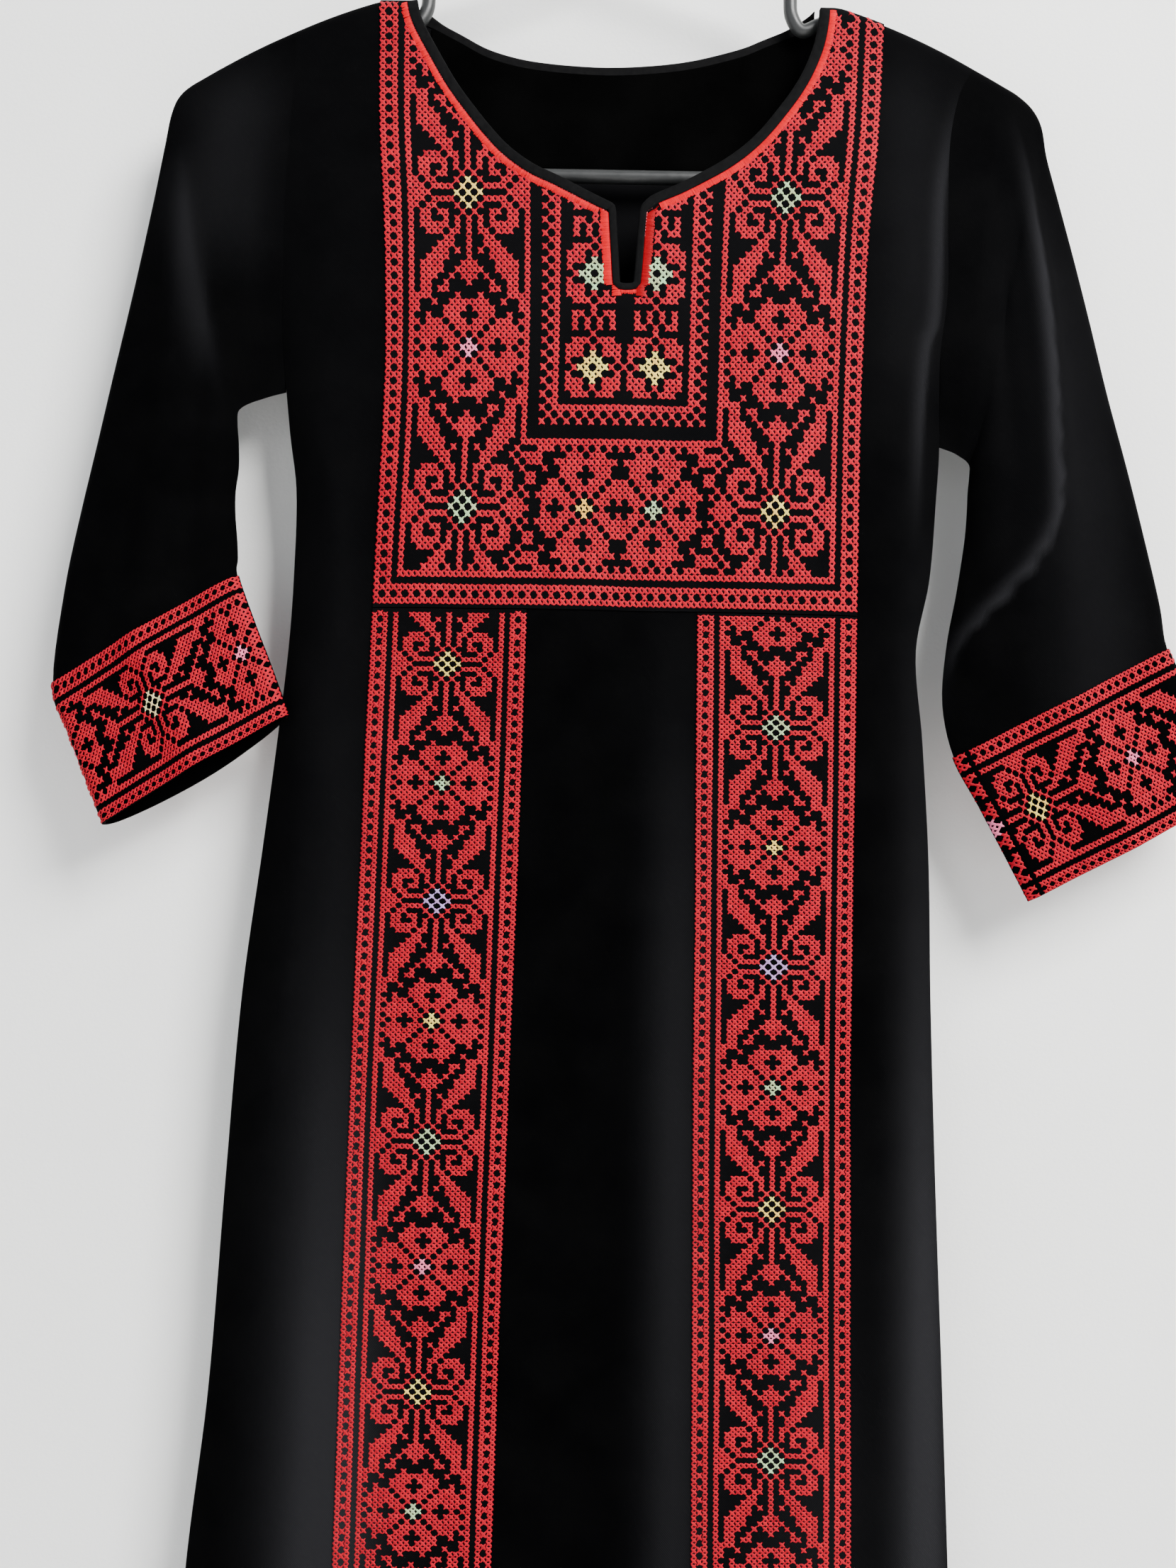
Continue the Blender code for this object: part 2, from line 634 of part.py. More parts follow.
def add_sleeve(name, cuff_name, rings, side, armpit_row, cuff_ring):
    """Sleeve tube from its armhole, with the cuff band laid round its end."""
    front_edge = armhole_edge(bpy.data.meshes["front_body"], side, armpit_row)
    back_edge = armhole_edge(bpy.data.meshes["back_body"], side, armpit_row)
    rows = sleeve_rows(rings, front_edge, back_edge)
    mesh = grid_mesh(name, rows, closed=True, flip=side < 0)
    add_cloth(name, mesh, CLOTH, black)
    cuff_rows = moved_out(mesh, len(rows[0]), range(cuff_ring, len(rows)),
                          range(len(rows[0])), CLOTH + LAY_GAP)
    cuff_mesh = grid_mesh(cuff_name, cuff_rows, closed=True, flip=side < 0)
    add_cloth(cuff_name, cuff_mesh, EMBROIDERED_CLOTH, red)


def add_hanger():
    """Moulded hanger: notched frame, stem and hook, joined into one body."""
    side = [(0.0, APEX_Z), (0.030, APEX_Z - 0.0100), (0.060, APEX_Z - 0.0200),
            (0.082, APEX_Z - 0.0275), (0.0905, APEX_Z - 0.0345), (0.0920, -0.1030),
            (0.0975, -0.1110), (0.1070, -0.1075), (ARM_START_X, ARM_START_Z),
            (0.140, arm_z(0.140)), (0.165, arm_z(0.165)), (0.1900, -0.1412),
            (0.2010, -0.1475), (0.2068, -0.1555), (0.2087, -0.1650), (0.2060, -0.1760),
            (0.1980, -0.1840), (0.1840, -0.1878), (0.150, BAR_Z), (0.075, BAR_Z), (0.0, BAR_Z)]
    right = rounded_path(side, 2)
    left = [Vector((-point.x, point.y)) for point in reversed(right)][1:-1]
    frame = tube_object("hanger", right + left, True)
    garment.objects.link(frame)
    frame.data.materials.append(grey)
    frame.data.shade_smooth()

    hook_path = []
    sweep = HOOK_FOOT_ANGLE - HOOK_TIP_ANGLE
    for step in range(HOOK_STEPS + 1):
        angle = math.radians(HOOK_TIP_ANGLE + sweep * step / HOOK_STEPS)
        hook_path.append(Vector((HOOK_RADIUS * math.cos(angle),
                                 HOOK_CENTRE_Z + HOOK_RADIUS * math.sin(angle))))
    foot = [tuple(hook_path[-1]), (0.0055, -0.0425), (0.0010, -0.0480), (0.0, APEX_Z)]
    hook_path += rounded_path(foot, 3)[1:]
    hook = tube_object("hanger_hook", hook_path, False)
    cutters.objects.link(hook)
    hook.hide_render = True
    hook.display_type = "WIRE"
    join = frame.modifiers.new("Hook", "BOOLEAN")
    join.operation = "UNION"
    join.object = hook
    join.solver = "EXACT"


garment = bpy.data.collections.new("palestinian_thobe_dress")
cutters = bpy.data.collections.new("cutters")
for group in (garment, cutters):
    bpy.context.scene.collection.children.link(group)
black = new_material("black_crepe", BLACK_CREPE, 0.75)
red = new_material("red_cross_stitch", RED_STITCH, 0.60)
grey = new_material("hanger_grey", HANGER_GREY, 0.35)

add_body()
add_bindings()
add_facing()
add_sleeve("sleeve_left", "cuff_left", SLEEVE_LEFT_RINGS, -1, LEFT_ARMPIT_ROW, LEFT_CUFF_RING)
add_sleeve("sleeve_right", "cuff_right", SLEEVE_RIGHT_RINGS, 1, RIGHT_ARMPIT_ROW,
           RIGHT_CUFF_RING)
add_hanger()
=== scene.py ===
"""Black thobe dress with red cross-stitch, hanging on a tubular hanger."""
import math

import bmesh
import bpy
import numpy as np
from mathutils import Matrix, Vector


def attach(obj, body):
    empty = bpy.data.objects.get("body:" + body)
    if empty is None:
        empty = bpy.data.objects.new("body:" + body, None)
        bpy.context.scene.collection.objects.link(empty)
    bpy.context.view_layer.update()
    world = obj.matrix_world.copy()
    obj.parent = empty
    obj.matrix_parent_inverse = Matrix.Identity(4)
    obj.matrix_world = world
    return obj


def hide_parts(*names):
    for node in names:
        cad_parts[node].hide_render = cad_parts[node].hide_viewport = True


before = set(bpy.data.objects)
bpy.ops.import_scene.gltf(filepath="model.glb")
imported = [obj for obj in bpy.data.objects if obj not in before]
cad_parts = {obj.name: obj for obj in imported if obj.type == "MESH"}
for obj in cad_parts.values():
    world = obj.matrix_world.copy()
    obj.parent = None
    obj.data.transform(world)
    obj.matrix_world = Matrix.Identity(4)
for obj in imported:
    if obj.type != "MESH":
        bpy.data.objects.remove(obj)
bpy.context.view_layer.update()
rng = np.random.default_rng(11)

# Sizes that the CAD also has, in metres
CLOTH = 0.0016
SEAM_HALF_GAP = 0.00001
TUBE_RADIUS = 0.0035
HOOK_RADIUS = 0.0225
HOOK_CENTRE_Z = -0.0190
APEX_Z = -0.0560
ARM_START_X = 0.115
ARM_START_Z = -0.1065
ARM_SLOPE = 0.30
ARM_BEND = 1.9
BAR_Z = -0.188
SEAM_RISE = 0.0044
HEM_Z = -1.190
ARMPIT_LEFT_Z = -0.299
ARMPIT_RIGHT_Z = -0.321
PANEL_FOOT_Z = -0.4110
BAND_HEAD_Z = -0.4115
FOLD_RADIUS = 0.0065
SLEEVE_FOLD_RADIUS = 0.0049
SHOULDER_RUN = 0.09
ARMHOLE_RUN = 0.09
ARMHOLE_SHARE = 0.18
SLEEVE_RUN = 0.05
FLATNESS = 6
FOLD_ONSET = 1.6
SEAM_LEVEL = -0.1021

# Body sections: height, side edges, then how far front and back stand out
BODY_SECTIONS = np.array((
    (-0.090, -0.1560, 0.1850, 0.0120, 0.0080),
    (-0.130, -0.1565, 0.1830, 0.0130, 0.0085),
    (-0.145, -0.1570, 0.1760, 0.0135, 0.0090),
    (-0.172, -0.1580, 0.1705, 0.0145, 0.0095),
    (-0.212, -0.1590, 0.1690, 0.0160, 0.0100),
    (-0.248, -0.1590, 0.1690, 0.0170, 0.0105),
    (-0.280, -0.1590, 0.1660, 0.0180, 0.0110),
    (-0.321, -0.1550, 0.1675, 0.0190, 0.0115),
    (-0.350, -0.1510, 0.1660, 0.0195, 0.0120),
    (-0.390, -0.1510, 0.1630, 0.0200, 0.0120),
    (-0.426, -0.1525, 0.1565, 0.0205, 0.0125),
    (-0.470, -0.1565, 0.1600, 0.0215, 0.0130),
    (-0.530, -0.1630, 0.1635, 0.0225, 0.0135),
    (-0.600, -0.1710, 0.1650, 0.0235, 0.0140),
    (-0.690, -0.1765, 0.1680, 0.0250, 0.0145),
    (-0.790, -0.1820, 0.1720, 0.0265, 0.0150),
    (-0.870, -0.1900, 0.1750, 0.0280, 0.0155),
    (-1.190, -0.2130, 0.1870, 0.0330, 0.0180),
))
LEFT, RIGHT, FRONT, BACK = 1, 2, 3, 4

# Edges of the embroidery: height, left band's edges, right band's edges
EMBROIDERY_SECTIONS = np.array((
    (-0.100, -0.1150, -0.0400, 0.0500, 0.1380),
    (-0.160, -0.1130, -0.0390, 0.0500, 0.1345),
    (-0.225, -0.1085, -0.0370, 0.0490, 0.1290),
    (-0.300, -0.1065, -0.0355, 0.0480, 0.1260),
    (-0.411, -0.1095, -0.0350, 0.0475, 0.1245),
    (-0.640, -0.1140, -0.0392, 0.0484, 0.1230),
    (-0.862, -0.1163, -0.0430, 0.0498, 0.1246),
    (-1.190, -0.1205, -0.0472, 0.0515, 0.1270),
))

# Upright folds: place at the armpit and at the hem, start, height and width
FRONT_FOLDS = (
    (-0.1300, -0.1560, -0.36, 0.0050, 0.020),
    (-0.1480, -0.1900, -0.50, -0.0060, 0.012),
    (0.0020, -0.0050, -0.40, -0.0070, 0.022),
    (0.0330, 0.0330, -0.42, 0.0030, 0.012),
    (0.1400, 0.1560, -0.38, 0.0055, 0.016),
    (-0.0720, -0.0850, -0.60, 0.0020, 0.024),
    (0.0860, 0.0900, -0.60, -0.0020, 0.024),
)
BACK_FOLDS = (
    (-0.1150, -0.1450, -0.36, 0.0050, 0.020),
    (-0.0450, -0.0600, -0.30, -0.0045, 0.020),
    (0.0250, 0.0200, -0.34, 0.0045, 0.022),
    (0.0850, 0.0950, -0.32, -0.0040, 0.018),
    (0.1350, 0.1500, -0.40, 0.0040, 0.016),
)

# Levels of the body's rows and how much of the shoulder's slant each keeps
LEVELS = np.array((
    (-0.1021, 1.00), (-0.1024, 1.00), (-0.1028, 1.00), (-0.1036, 1.00),
    (-0.1046, 1.00), (-0.1062, 1.00), (-0.1086, 1.00), (-0.1140, 0.98),
    (-0.1200, 0.95), (-0.1420, 0.75), (-0.1700, 0.50), (-0.2000, 0.28),
    (-0.2300, 0.12), (-0.2600, 0.00), (ARMPIT_LEFT_Z, 0.00), (ARMPIT_RIGHT_Z, 0.00),
    (HEM_Z, 0.00),
))

FRONT_NECK = (
    (-0.0975, -0.085), (-0.0975, -0.102), (-0.0940, -0.114), (-0.0848, -0.1316),
    (-0.0760, -0.1470), (-0.0663, -0.1607), (-0.0570, -0.1725), (-0.0480, -0.1821),
    (-0.0365, -0.1905), (-0.0244, -0.1963), (-0.0120, -0.2025), (-0.0012, -0.2077),
    (0.0031, -0.2099), (0.0041, -0.2125), (0.0045, -0.2193), (0.0057, -0.2350),
    (0.0065, -0.2470), (0.0074, -0.2498), (0.0141, -0.2498), (0.0150, -0.2470),
    (0.0159, -0.2350), (0.0171, -0.2155), (0.0176, -0.2122), (0.0190, -0.2094),
    (0.0235, -0.2054), (0.0350, -0.1998), (0.0467, -0.1933), (0.0575, -0.1865),
    (0.0678, -0.1783), (0.0770, -0.1690), (0.0854, -0.1580), (0.0925, -0.1475),
    (0.0985, -0.1360), (0.1035, -0.1220), (0.1058, -0.1080), (0.1065, -0.098),
    (0.1065, -0.085),
)
BACK_NECK = (
    (-0.0975, -0.085), (-0.0975, -0.1020), (-0.0890, -0.1060), (-0.0758, -0.1128),
    (-0.0594, -0.1210), (-0.0354, -0.1265), (0.0000, -0.1285), (0.0367, -0.1255),
    (0.0654, -0.1185), (0.0800, -0.1125), (0.0980, -0.1050), (0.1065, -0.1020),
    (0.1065, -0.085),
)

# Sleeve rings: outer edge, inner edge, how far it stands out, how far forward
SLEEVE_LEFT_RINGS = (
    (-0.1560, None, -0.1592, -0.2990, 0.0120, 0.0000),
    (-0.1700, None, -0.1650, -0.3010, 0.0110, 0.0000),
    (-0.1860, None, -0.1710, -0.3030, 0.0105, 0.0000),
    (-0.2010, None, -0.1765, -0.3050, 0.0100, 0.0000),
    (-0.2125, -0.1500, -0.1810, -0.3075, 0.0100, 0.0000),
    (-0.2175, -0.1600, -0.1835, -0.3110, 0.0100, 0.0002),
    (-0.2205, -0.1780, -0.1835, -0.3180, 0.0100, 0.0004),
    (-0.2245, -0.2030, -0.1825, -0.3280, 0.0100, 0.0008),
    (-0.2310, -0.2380, -0.1820, -0.3400, 0.0100, 0.0015),
    (-0.2390, -0.2800, -0.1830, -0.3520, 0.0095, 0.0026),
    (-0.2470, -0.3220, -0.1825, -0.3640, 0.0090, 0.0038),
    (-0.2550, -0.3640, -0.1810, -0.3760, 0.0085, 0.0052),
    (-0.2615, -0.4050, -0.1800, -0.3860, 0.0080, 0.0068),
    (-0.2650, -0.4500, -0.1795, -0.3955, 0.0075, 0.0086),
    (-0.2565, -0.4725, -0.1710, -0.4180, 0.0075, 0.0096),
    (-0.2470, -0.4950, -0.1615, -0.4410, 0.0075, 0.0104),
    (-0.2375, -0.5175, -0.1525, -0.4640, 0.0075, 0.0110),
)
SLEEVE_RIGHT_RINGS = (
    (0.1835, None, 0.1680, -0.3210, 0.0120, 0.0000),
    (0.1910, None, 0.1720, -0.3225, 0.0110, 0.0000),
    (0.1980, None, 0.1760, -0.3240, 0.0105, 0.0000),
    (0.2050, None, 0.1795, -0.3260, 0.0100, 0.0000),
    (0.2120, -0.1510, 0.1830, -0.3285, 0.0100, 0.0000),
    (0.2165, -0.1600, 0.1850, -0.3320, 0.0100, 0.0002),
    (0.2190, -0.1750, 0.1848, -0.3380, 0.0100, 0.0004),
    (0.2245, -0.1960, 0.1840, -0.3460, 0.0100, 0.0008),
    (0.2320, -0.2250, 0.1835, -0.3560, 0.0100, 0.0013),
    (0.2400, -0.2580, 0.1825, -0.3680, 0.0095, 0.0020),
    (0.2490, -0.2960, 0.1805, -0.3820, 0.0090, 0.0028),
    (0.2590, -0.3340, 0.1775, -0.4000, 0.0090, 0.0036),
    (0.2680, -0.3720, 0.1730, -0.4240, 0.0085, 0.0046),
    (0.2745, -0.4020, 0.1710, -0.4520, 0.0080, 0.0056),
    (0.2780, -0.4235, 0.1765, -0.4775, 0.0075, 0.0062),
    (0.2895, -0.4465, 0.1890, -0.5005, 0.0075, 0.0066),
    (0.3010, -0.4695, 0.2015, -0.5240, 0.0075, 0.0070),
    (0.3125, -0.4920, 0.2135, -0.5470, 0.0075, 0.0074),
)
ARMHOLE_RINGS = 5.0
LEFT_CUFF_RING = 13
RIGHT_CUFF_RING = 14
SLEEVE_RIDGES = ((0.10, 0.55, 0.0030, 0.10), (0.45, 0.85, -0.0025, 0.12))

# Small creases: points (x, z), height, width, and how much
# softer the second side is
BODY_CREASES = (
    (((-0.150, -0.300), (-0.136, -0.340), (-0.128, -0.395), (-0.130, -0.450)), 0.0022, 0.0055, 2.2),
    (((-0.143, -0.470), (-0.150, -0.600), (-0.162, -0.706), (-0.172, -0.860)), 0.0026, 0.0060, 2.6),
    (((-0.128, -0.560), (-0.134, -0.700), (-0.140, -0.900), (-0.150, -1.100)), 0.0016, 0.0070, 1.8),
    (((0.158, -0.330), (0.146, -0.365), (0.139, -0.420), (0.140, -0.480)), 0.0022, 0.0055, 2.0),
    (((0.150, -0.520), (0.152, -0.640), (0.158, -0.760), (0.163, -0.900)), 0.0024, 0.0065, 2.4),
    (((0.136, -0.600), (0.139, -0.750), (0.142, -0.950)), 0.0014, 0.0060, 1.6),
    (((-0.012, -0.430), (-0.010, -0.560), (-0.014, -0.760), (-0.018, -1.000)), 0.0018, 0.0065, 2.0),
    (((0.026, -0.440), (0.031, -0.580), (0.034, -0.800), (0.036, -1.050)), 0.0020, 0.0050, 2.4),
    (((0.009, -0.470), (0.012, -0.620), (0.008, -0.840)), -0.0012, 0.0060, 1.5),
    (((-0.142, -0.180), (-0.137, -0.225), (-0.141, -0.270)), 0.0012, 0.0060, 1.8),
    (((0.152, -0.190), (0.148, -0.240), (0.152, -0.290)), 0.0012, 0.0065, 1.8),
)
BACK_CREASES = (
    (((-0.120, -0.330), (-0.110, -0.460), (-0.124, -0.700), (-0.140, -1.000)), 0.0022, 0.0070, 2.2),
    (((-0.060, -0.200), (-0.055, -0.330), (-0.062, -0.520)), 0.0016, 0.0080, 1.8),
    (((0.020, -0.240), (0.028, -0.420), (0.020, -0.700), (0.024, -1.050)), 0.0022, 0.0075, 2.0),
    (((0.095, -0.220), (0.088, -0.400), (0.100, -0.640)), 0.0018, 0.0070, 2.0),
    (((0.140, -0.360), (0.132, -0.520), (0.146, -0.820)), 0.0020, 0.0065, 2.2),
)
SLEEVE_CREASES = (
    (((-0.216, -0.169), (-0.212, -0.193), (-0.207, -0.225), (-0.203, -0.257),
      (-0.197, -0.285), (-0.187, -0.324), (-0.184, -0.342)), 0.0020, 0.0055, 2.2),
    (((-0.172, -0.150), (-0.178, -0.190), (-0.180, -0.240), (-0.174, -0.285)), 0.0014, 0.0060, 1.8),
    (((-0.233, -0.270), (-0.231, -0.320), (-0.238, -0.380), (-0.240, -0.430)), 0.0016, 0.0060, 2.0),
    (((-0.206, -0.330), (-0.214, -0.370), (-0.211, -0.420)), 0.0014, 0.0055, 1.8),
    (((0.206, -0.171), (0.209, -0.189), (0.217, -0.239), (0.223, -0.288), (0.225, -0.335),
      (0.222, -0.363), (0.208, -0.388), (0.188, -0.412), (0.172, -0.437)), 0.0030, 0.0050, 2.6),
    (((0.172, -0.150), (0.183, -0.200), (0.186, -0.250), (0.180, -0.300)), 0.0014, 0.0065, 1.8),
    (((0.172, -0.330), (0.184, -0.331), (0.198, -0.333), (0.212, -0.342)), 0.0020, 0.0045, 2.0),
    (((0.238, -0.290), (0.246, -0.345), (0.252, -0.400)), 0.0016, 0.0065, 2.0),
)

# Painted highlights, zones where the crepe is lightened as if it caught the light: points (x, z),
# strength and width
FRONT_PAINTED_HIGHLIGHTS = (
    (((-0.130, -0.180), (-0.128, -0.330), (-0.124, -0.560), (-0.120, -0.830), (-0.119, -1.500)),
     0.26, 0.020, 1.2),
    (((-0.124, -0.520), (-0.121, -0.700), (-0.120, -0.900), (-0.122, -1.600)), 0.95, 0.022, 1.3),
    (((0.036, -0.340), (0.040, -0.500), (0.042, -0.830), (0.043, -1.500)), 0.50, 0.014, 1.2),
    (((0.155, -0.240), (0.159, -0.400), (0.161, -0.600), (0.164, -0.900), (0.166, -1.500)),
     0.36, 0.011, 1.2),
    (((0.161, -0.500), (0.163, -0.800), (0.166, -1.600)), 0.90, 0.012, 1.3),
    (((0.110, -0.600), (0.112, -0.900), (0.114, -1.500)), 0.25, 0.030, 1.0),
    (((0.180, -0.132), (0.1750, -0.150), (0.1668, -0.196), (0.1650, -0.241), (0.1636, -0.265),
      (0.1590, -0.285), (0.1560, -0.380)), 0.70, 0.0016, 3.0),
    (((0.150, -0.100), (0.152, -0.190), (0.150, -0.330)), 0.20, 0.018, 1.0),
)
# The back's painted highlights follow its creases, with a few more
BACK_PAINTED_HIGHLIGHTS = tuple((points, 0.95, 1.6 * width, softer)
                    for points, _, width, softer in BACK_CREASES) + (
    (((-0.150, -0.150), (-0.122, -0.200), (-0.085, -0.238)), 0.60, 0.006, 2.4),
    (((0.168, -0.150), (0.137, -0.205), (0.095, -0.242)), 0.60, 0.006, 2.4),
    (((-0.086, -0.560), (-0.096, -0.800), (-0.104, -1.500)), 0.70, 0.012, 2.0),
    (((0.068, -0.500), (0.072, -0.800), (0.078, -1.500)), 0.65, 0.012, 2.0),
)
# Painted highlights on the sleeves
SLEEVE_PAINTED_HIGHLIGHTS = (
    (((0.214, -0.150), (0.224, -0.240), (0.237, -0.350), (0.250, -0.450), (0.275, -0.640)),
     0.26, 0.024, 1.2),
    (((0.2000, -0.150), (0.2060, -0.171), (0.2105, -0.200), (0.2165, -0.239), (0.2215, -0.288),
      (0.2225, -0.320), (0.2235, -0.345), (0.2222, -0.363), (0.2135, -0.381), (0.2000, -0.397),
      (0.1880, -0.4095), (0.1785, -0.4205), (0.1728, -0.434), (0.1716, -0.448), (0.1735, -0.460),
      (0.1780, -0.480)), 0.95, 0.0012, 3.6),
    (((-0.176, -0.120), (-0.186, -0.170), (-0.190, -0.260)), 0.30, 0.022, 1.0),
    (((-0.214, -0.172), (-0.206, -0.230), (-0.190, -0.310)), 0.40, 0.0040, 2.4),
)


# Surfaces of the cloth

def smooth(value):
    value = np.clip(value, 0.0, 1.0)
    return value * value * (3.0 - 2.0 * value)


def section_value(sections, z, column):
    """A column of a table at height z, on a curve through its rows."""
    heights, values = sections[::-1, 0], sections[::-1, column]
    count = len(heights)
    before = np.maximum(np.arange(count) - 1, 0)
    after = np.minimum(np.arange(count) + 1, count - 1)
    slopes = (values[after] - values[before]) / (heights[after] - heights[before])
    z = np.clip(z, heights[0], heights[-1])
    index = np.clip(np.searchsorted(heights, z, side="right") - 1, 0, count - 2)
    span = heights[index + 1] - heights[index]
    share = (z - heights[index]) / span
    square, cube = share ** 2, share ** 3
    return ((2 * cube - 3 * square + 1) * values[index]
            + (cube - 2 * square + share) * span * slopes[index]
            + (3 * square - 2 * cube) * values[index + 1]
            + (cube - square) * span * slopes[index + 1])


def arm_z(x):
    beyond = np.maximum(np.abs(x) - ARM_START_X, 0.0)
    return ARM_START_Z - ARM_SLOPE * beyond - ARM_BEND * beyond ** 2


def seam_z(x):
    return arm_z(x) + SEAM_RISE


def over_arm(drop, radius):
    rest = 1.0 - np.clip(drop / radius, 0.0, 1.0)
    return radius * np.sqrt(1.0 - rest * rest)


def rounded_path(corners, steps):
    """Points through a list of corners on a Catmull-Rom curve."""
    corners = [np.array(corner, float) for corner in corners]
    path = []
    for index in range(len(corners) - 1):
        before, start = corners[max(index - 1, 0)], corners[index]
        end, after = corners[index + 1], corners[min(index + 2, len(corners) - 1)]
        for step in range(steps):
            t = step / steps
            path.append(0.5 * ((2 * start) + (end - before) * t
                               + (2 * before - 5 * start + 4 * end - after) * t ** 2
                               + (3 * start - before - 3 * end + after) * t ** 3))
    path.append(corners[-1])
    return np.array(path)


def crease_depth(creases, x, z):
    """Sum of the soft creases at places on the cloth."""
    total = np.zeros(np.broadcast(x, z).shape)
    for corners, stands, width, softer in creases:
        path = rounded_path(corners, 5)
        lengths = np.linalg.norm(np.diff(path, axis=0), axis=1)
        whole = lengths.sum()
        nearest = np.full(total.shape, 1e9)
        signed = np.zeros(total.shape)
        along = np.zeros(total.shape)
        done = 0.0
        for start, end, length in zip(path, path[1:], lengths):
            way = (end - start) / length
            run = np.clip((x - start[0]) * way[0] + (z - start[1]) * way[1], 0.0, length)
            off_x, off_z = x - start[0] - way[0] * run, z - start[1] - way[1] * run
            distance = np.hypot(off_x, off_z)
            closer = distance < nearest
            nearest = np.where(closer, distance, nearest)
            side = way[0] * off_z - way[1] * off_x
            signed = np.where(closer, side, signed)
            along = np.where(closer, done + run, along)
            done += length
        spread = np.where(signed > 0.0, width, width * softer)
        taper = smooth(along / (0.3 * whole)) * smooth((whole - along) / (0.35 * whole))
        total += stands * taper * np.exp(-(nearest / spread) ** 2)
    return total


def unevenness(x, z, seed):
    """Slow, low waves that keep hanging cloth from looking machined."""
    return (0.0007 * np.sin(41.0 * x + 9.0 * z + seed) * np.sin(13.0 * z + 2.0 * seed)
            + 0.0005 * np.sin(83.0 * x - 21.0 * z + 1.7 * seed)
            + 0.0003 * np.sin(57.0 * z + 30.0 * x + 0.6 * seed)
            + 0.0002 * np.sin(160.0 * x + 44.0 * z + 3.1 * seed))


def fold_depth(folds, x, z):
    total = 0.0
    for x_top, x_hem, z_start, stands, width in folds:
        run = np.maximum(z_start - z, 0.0) / (z_start - HEM_Z)
        middle = x_top + (x_hem - x_top) * (ARMPIT_LEFT_Z - z) / (ARMPIT_LEFT_Z - HEM_Z)
        total = total + stands * smooth(FOLD_ONSET * run) * np.exp(-((x - middle) / width) ** 2)
    return total


def closing(x, z):
    left = section_value(BODY_SECTIONS, z, LEFT)
    right = section_value(BODY_SECTIONS, z, RIGHT)
    across = 2.0 * (x - left) / (right - left) - 1.0
    armpit = np.where(across < 0.0, ARMPIT_LEFT_Z, ARMPIT_RIGHT_Z)
    reach = 1.0 - ARMHOLE_SHARE * smooth((z - armpit) / ARMHOLE_RUN)
    return 1.0 - np.minimum(np.abs(across) * reach, 1.0) ** FLATNESS


def body_depth(x, z, column, folds, creases, seed):
    top = over_arm(seam_z(x) - z, FOLD_RADIUS)
    full = section_value(BODY_SECTIONS, z, column) + fold_depth(folds, x, z)
    run = smooth((seam_z(x) - z) / SHOULDER_RUN)
    small = crease_depth(creases, x, z) + unevenness(x, z, seed)
    return closing(x, z) * (top + (full - FOLD_RADIUS + small) * run)


def front_point(x, z):
    depth = body_depth(x, z, FRONT, FRONT_FOLDS, BODY_CREASES, 0.4)
    return np.stack([x, -SEAM_HALF_GAP - depth, z], axis=-1)


def back_point(x, z):
    depth = body_depth(x, z, BACK, BACK_FOLDS, BACK_CREASES, 2.3)
    return np.stack([x, SEAM_HALF_GAP + depth, z], axis=-1)


def lifted(place, x, z, lift, outward):
    """Points on a body surface, raised by a lift along its normal."""
    step = 0.0004
    x, z = np.broadcast_arrays(np.asarray(x, float), np.asarray(z, float))
    base = place(x, z)
    along = place(x + step, z) - place(x - step, z)
    down = place(x, z - step) - base
    normal = np.cross(along, down)
    normal /= np.linalg.norm(normal, axis=-1, keepdims=True)
    normal = np.where(normal[..., 1:2] * outward > 0.0, normal, -normal)
    return base + normal * np.asarray(lift)[..., None]


def front_at(x, z, lift):
    return lifted(front_point, x, z, lift, -1)


def back_at(x, z, lift):
    return lifted(back_point, x, z, lift, 1)


# Meshes

def link(name, mesh, material=None):
    piece = bpy.data.objects.new(name, mesh)
    bpy.context.scene.collection.objects.link(piece)
    if material is not None:
        mesh.materials.append(material)
    return piece


def mesh_from(name, points, faces, sharp=None):
    points = np.asarray(points, float).reshape(-1, 3)
    faces = np.asarray(faces)
    mesh = bpy.data.meshes.new(name)
    mesh.from_pydata(points.tolist(), [], faces.tolist())
    mesh.update()
    mesh.shade_smooth()
    if sharp is not None:
        mesh.set_sharp_from_angle(angle=math.radians(sharp))
    return mesh


def grid_faces(rows, columns, closed=False, start=0):
    """Quads of a grid of points; closed joins the last column to the first."""
    last = columns if closed else columns - 1
    row, column = np.meshgrid(np.arange(rows - 1), np.arange(last), indexing="ij")
    after = (column + 1) % columns
    quads = np.stack([row * columns + column, row * columns + after,
                      (row + 1) * columns + after, (row + 1) * columns + column], axis=-1)
    return quads.reshape(-1, 4) + start


def signed_volume(points, faces):
    a, b, c, d = (points[faces[:, k]] for k in range(4))
    first = np.einsum("ij,ij->i", a, np.cross(b, c)).sum()
    return first + np.einsum("ij,ij->i", a, np.cross(c, d)).sum()


def shell(name, outer, inner, closed=False, sharp=50.0):
    """Closed cloth wall between an outer and an inner grid of points."""
    rows, columns = outer.shape[:2]
    count = rows * columns
    faces = [grid_faces(rows, columns, closed), grid_faces(rows, columns, closed, count)[:, ::-1]]

    def rim(line):
        ends = np.roll(line, -1) if closed else line[1:]
        starts = line if closed else line[:-1]
        return np.stack([starts, starts + count, ends + count, ends], axis=-1)

    first = np.arange(columns)
    final = first + (rows - 1) * columns
    faces += [rim(first), rim(final)[:, ::-1]]
    if not closed:
        left = np.arange(rows) * columns
        right = left + columns - 1
        for line, turn in ((left, -1), (right, 1)):
            side = np.stack([line[:-1], line[:-1] + count, line[1:] + count, line[1:]], axis=-1)
            faces.append(side[:, ::turn])
    faces = np.concatenate(faces)
    points = np.concatenate([outer.reshape(-1, 3), inner.reshape(-1, 3)])
    if signed_volume(points, faces) < 0.0:
        faces = faces[:, ::-1]
    return mesh_from(name, points, faces, sharp)


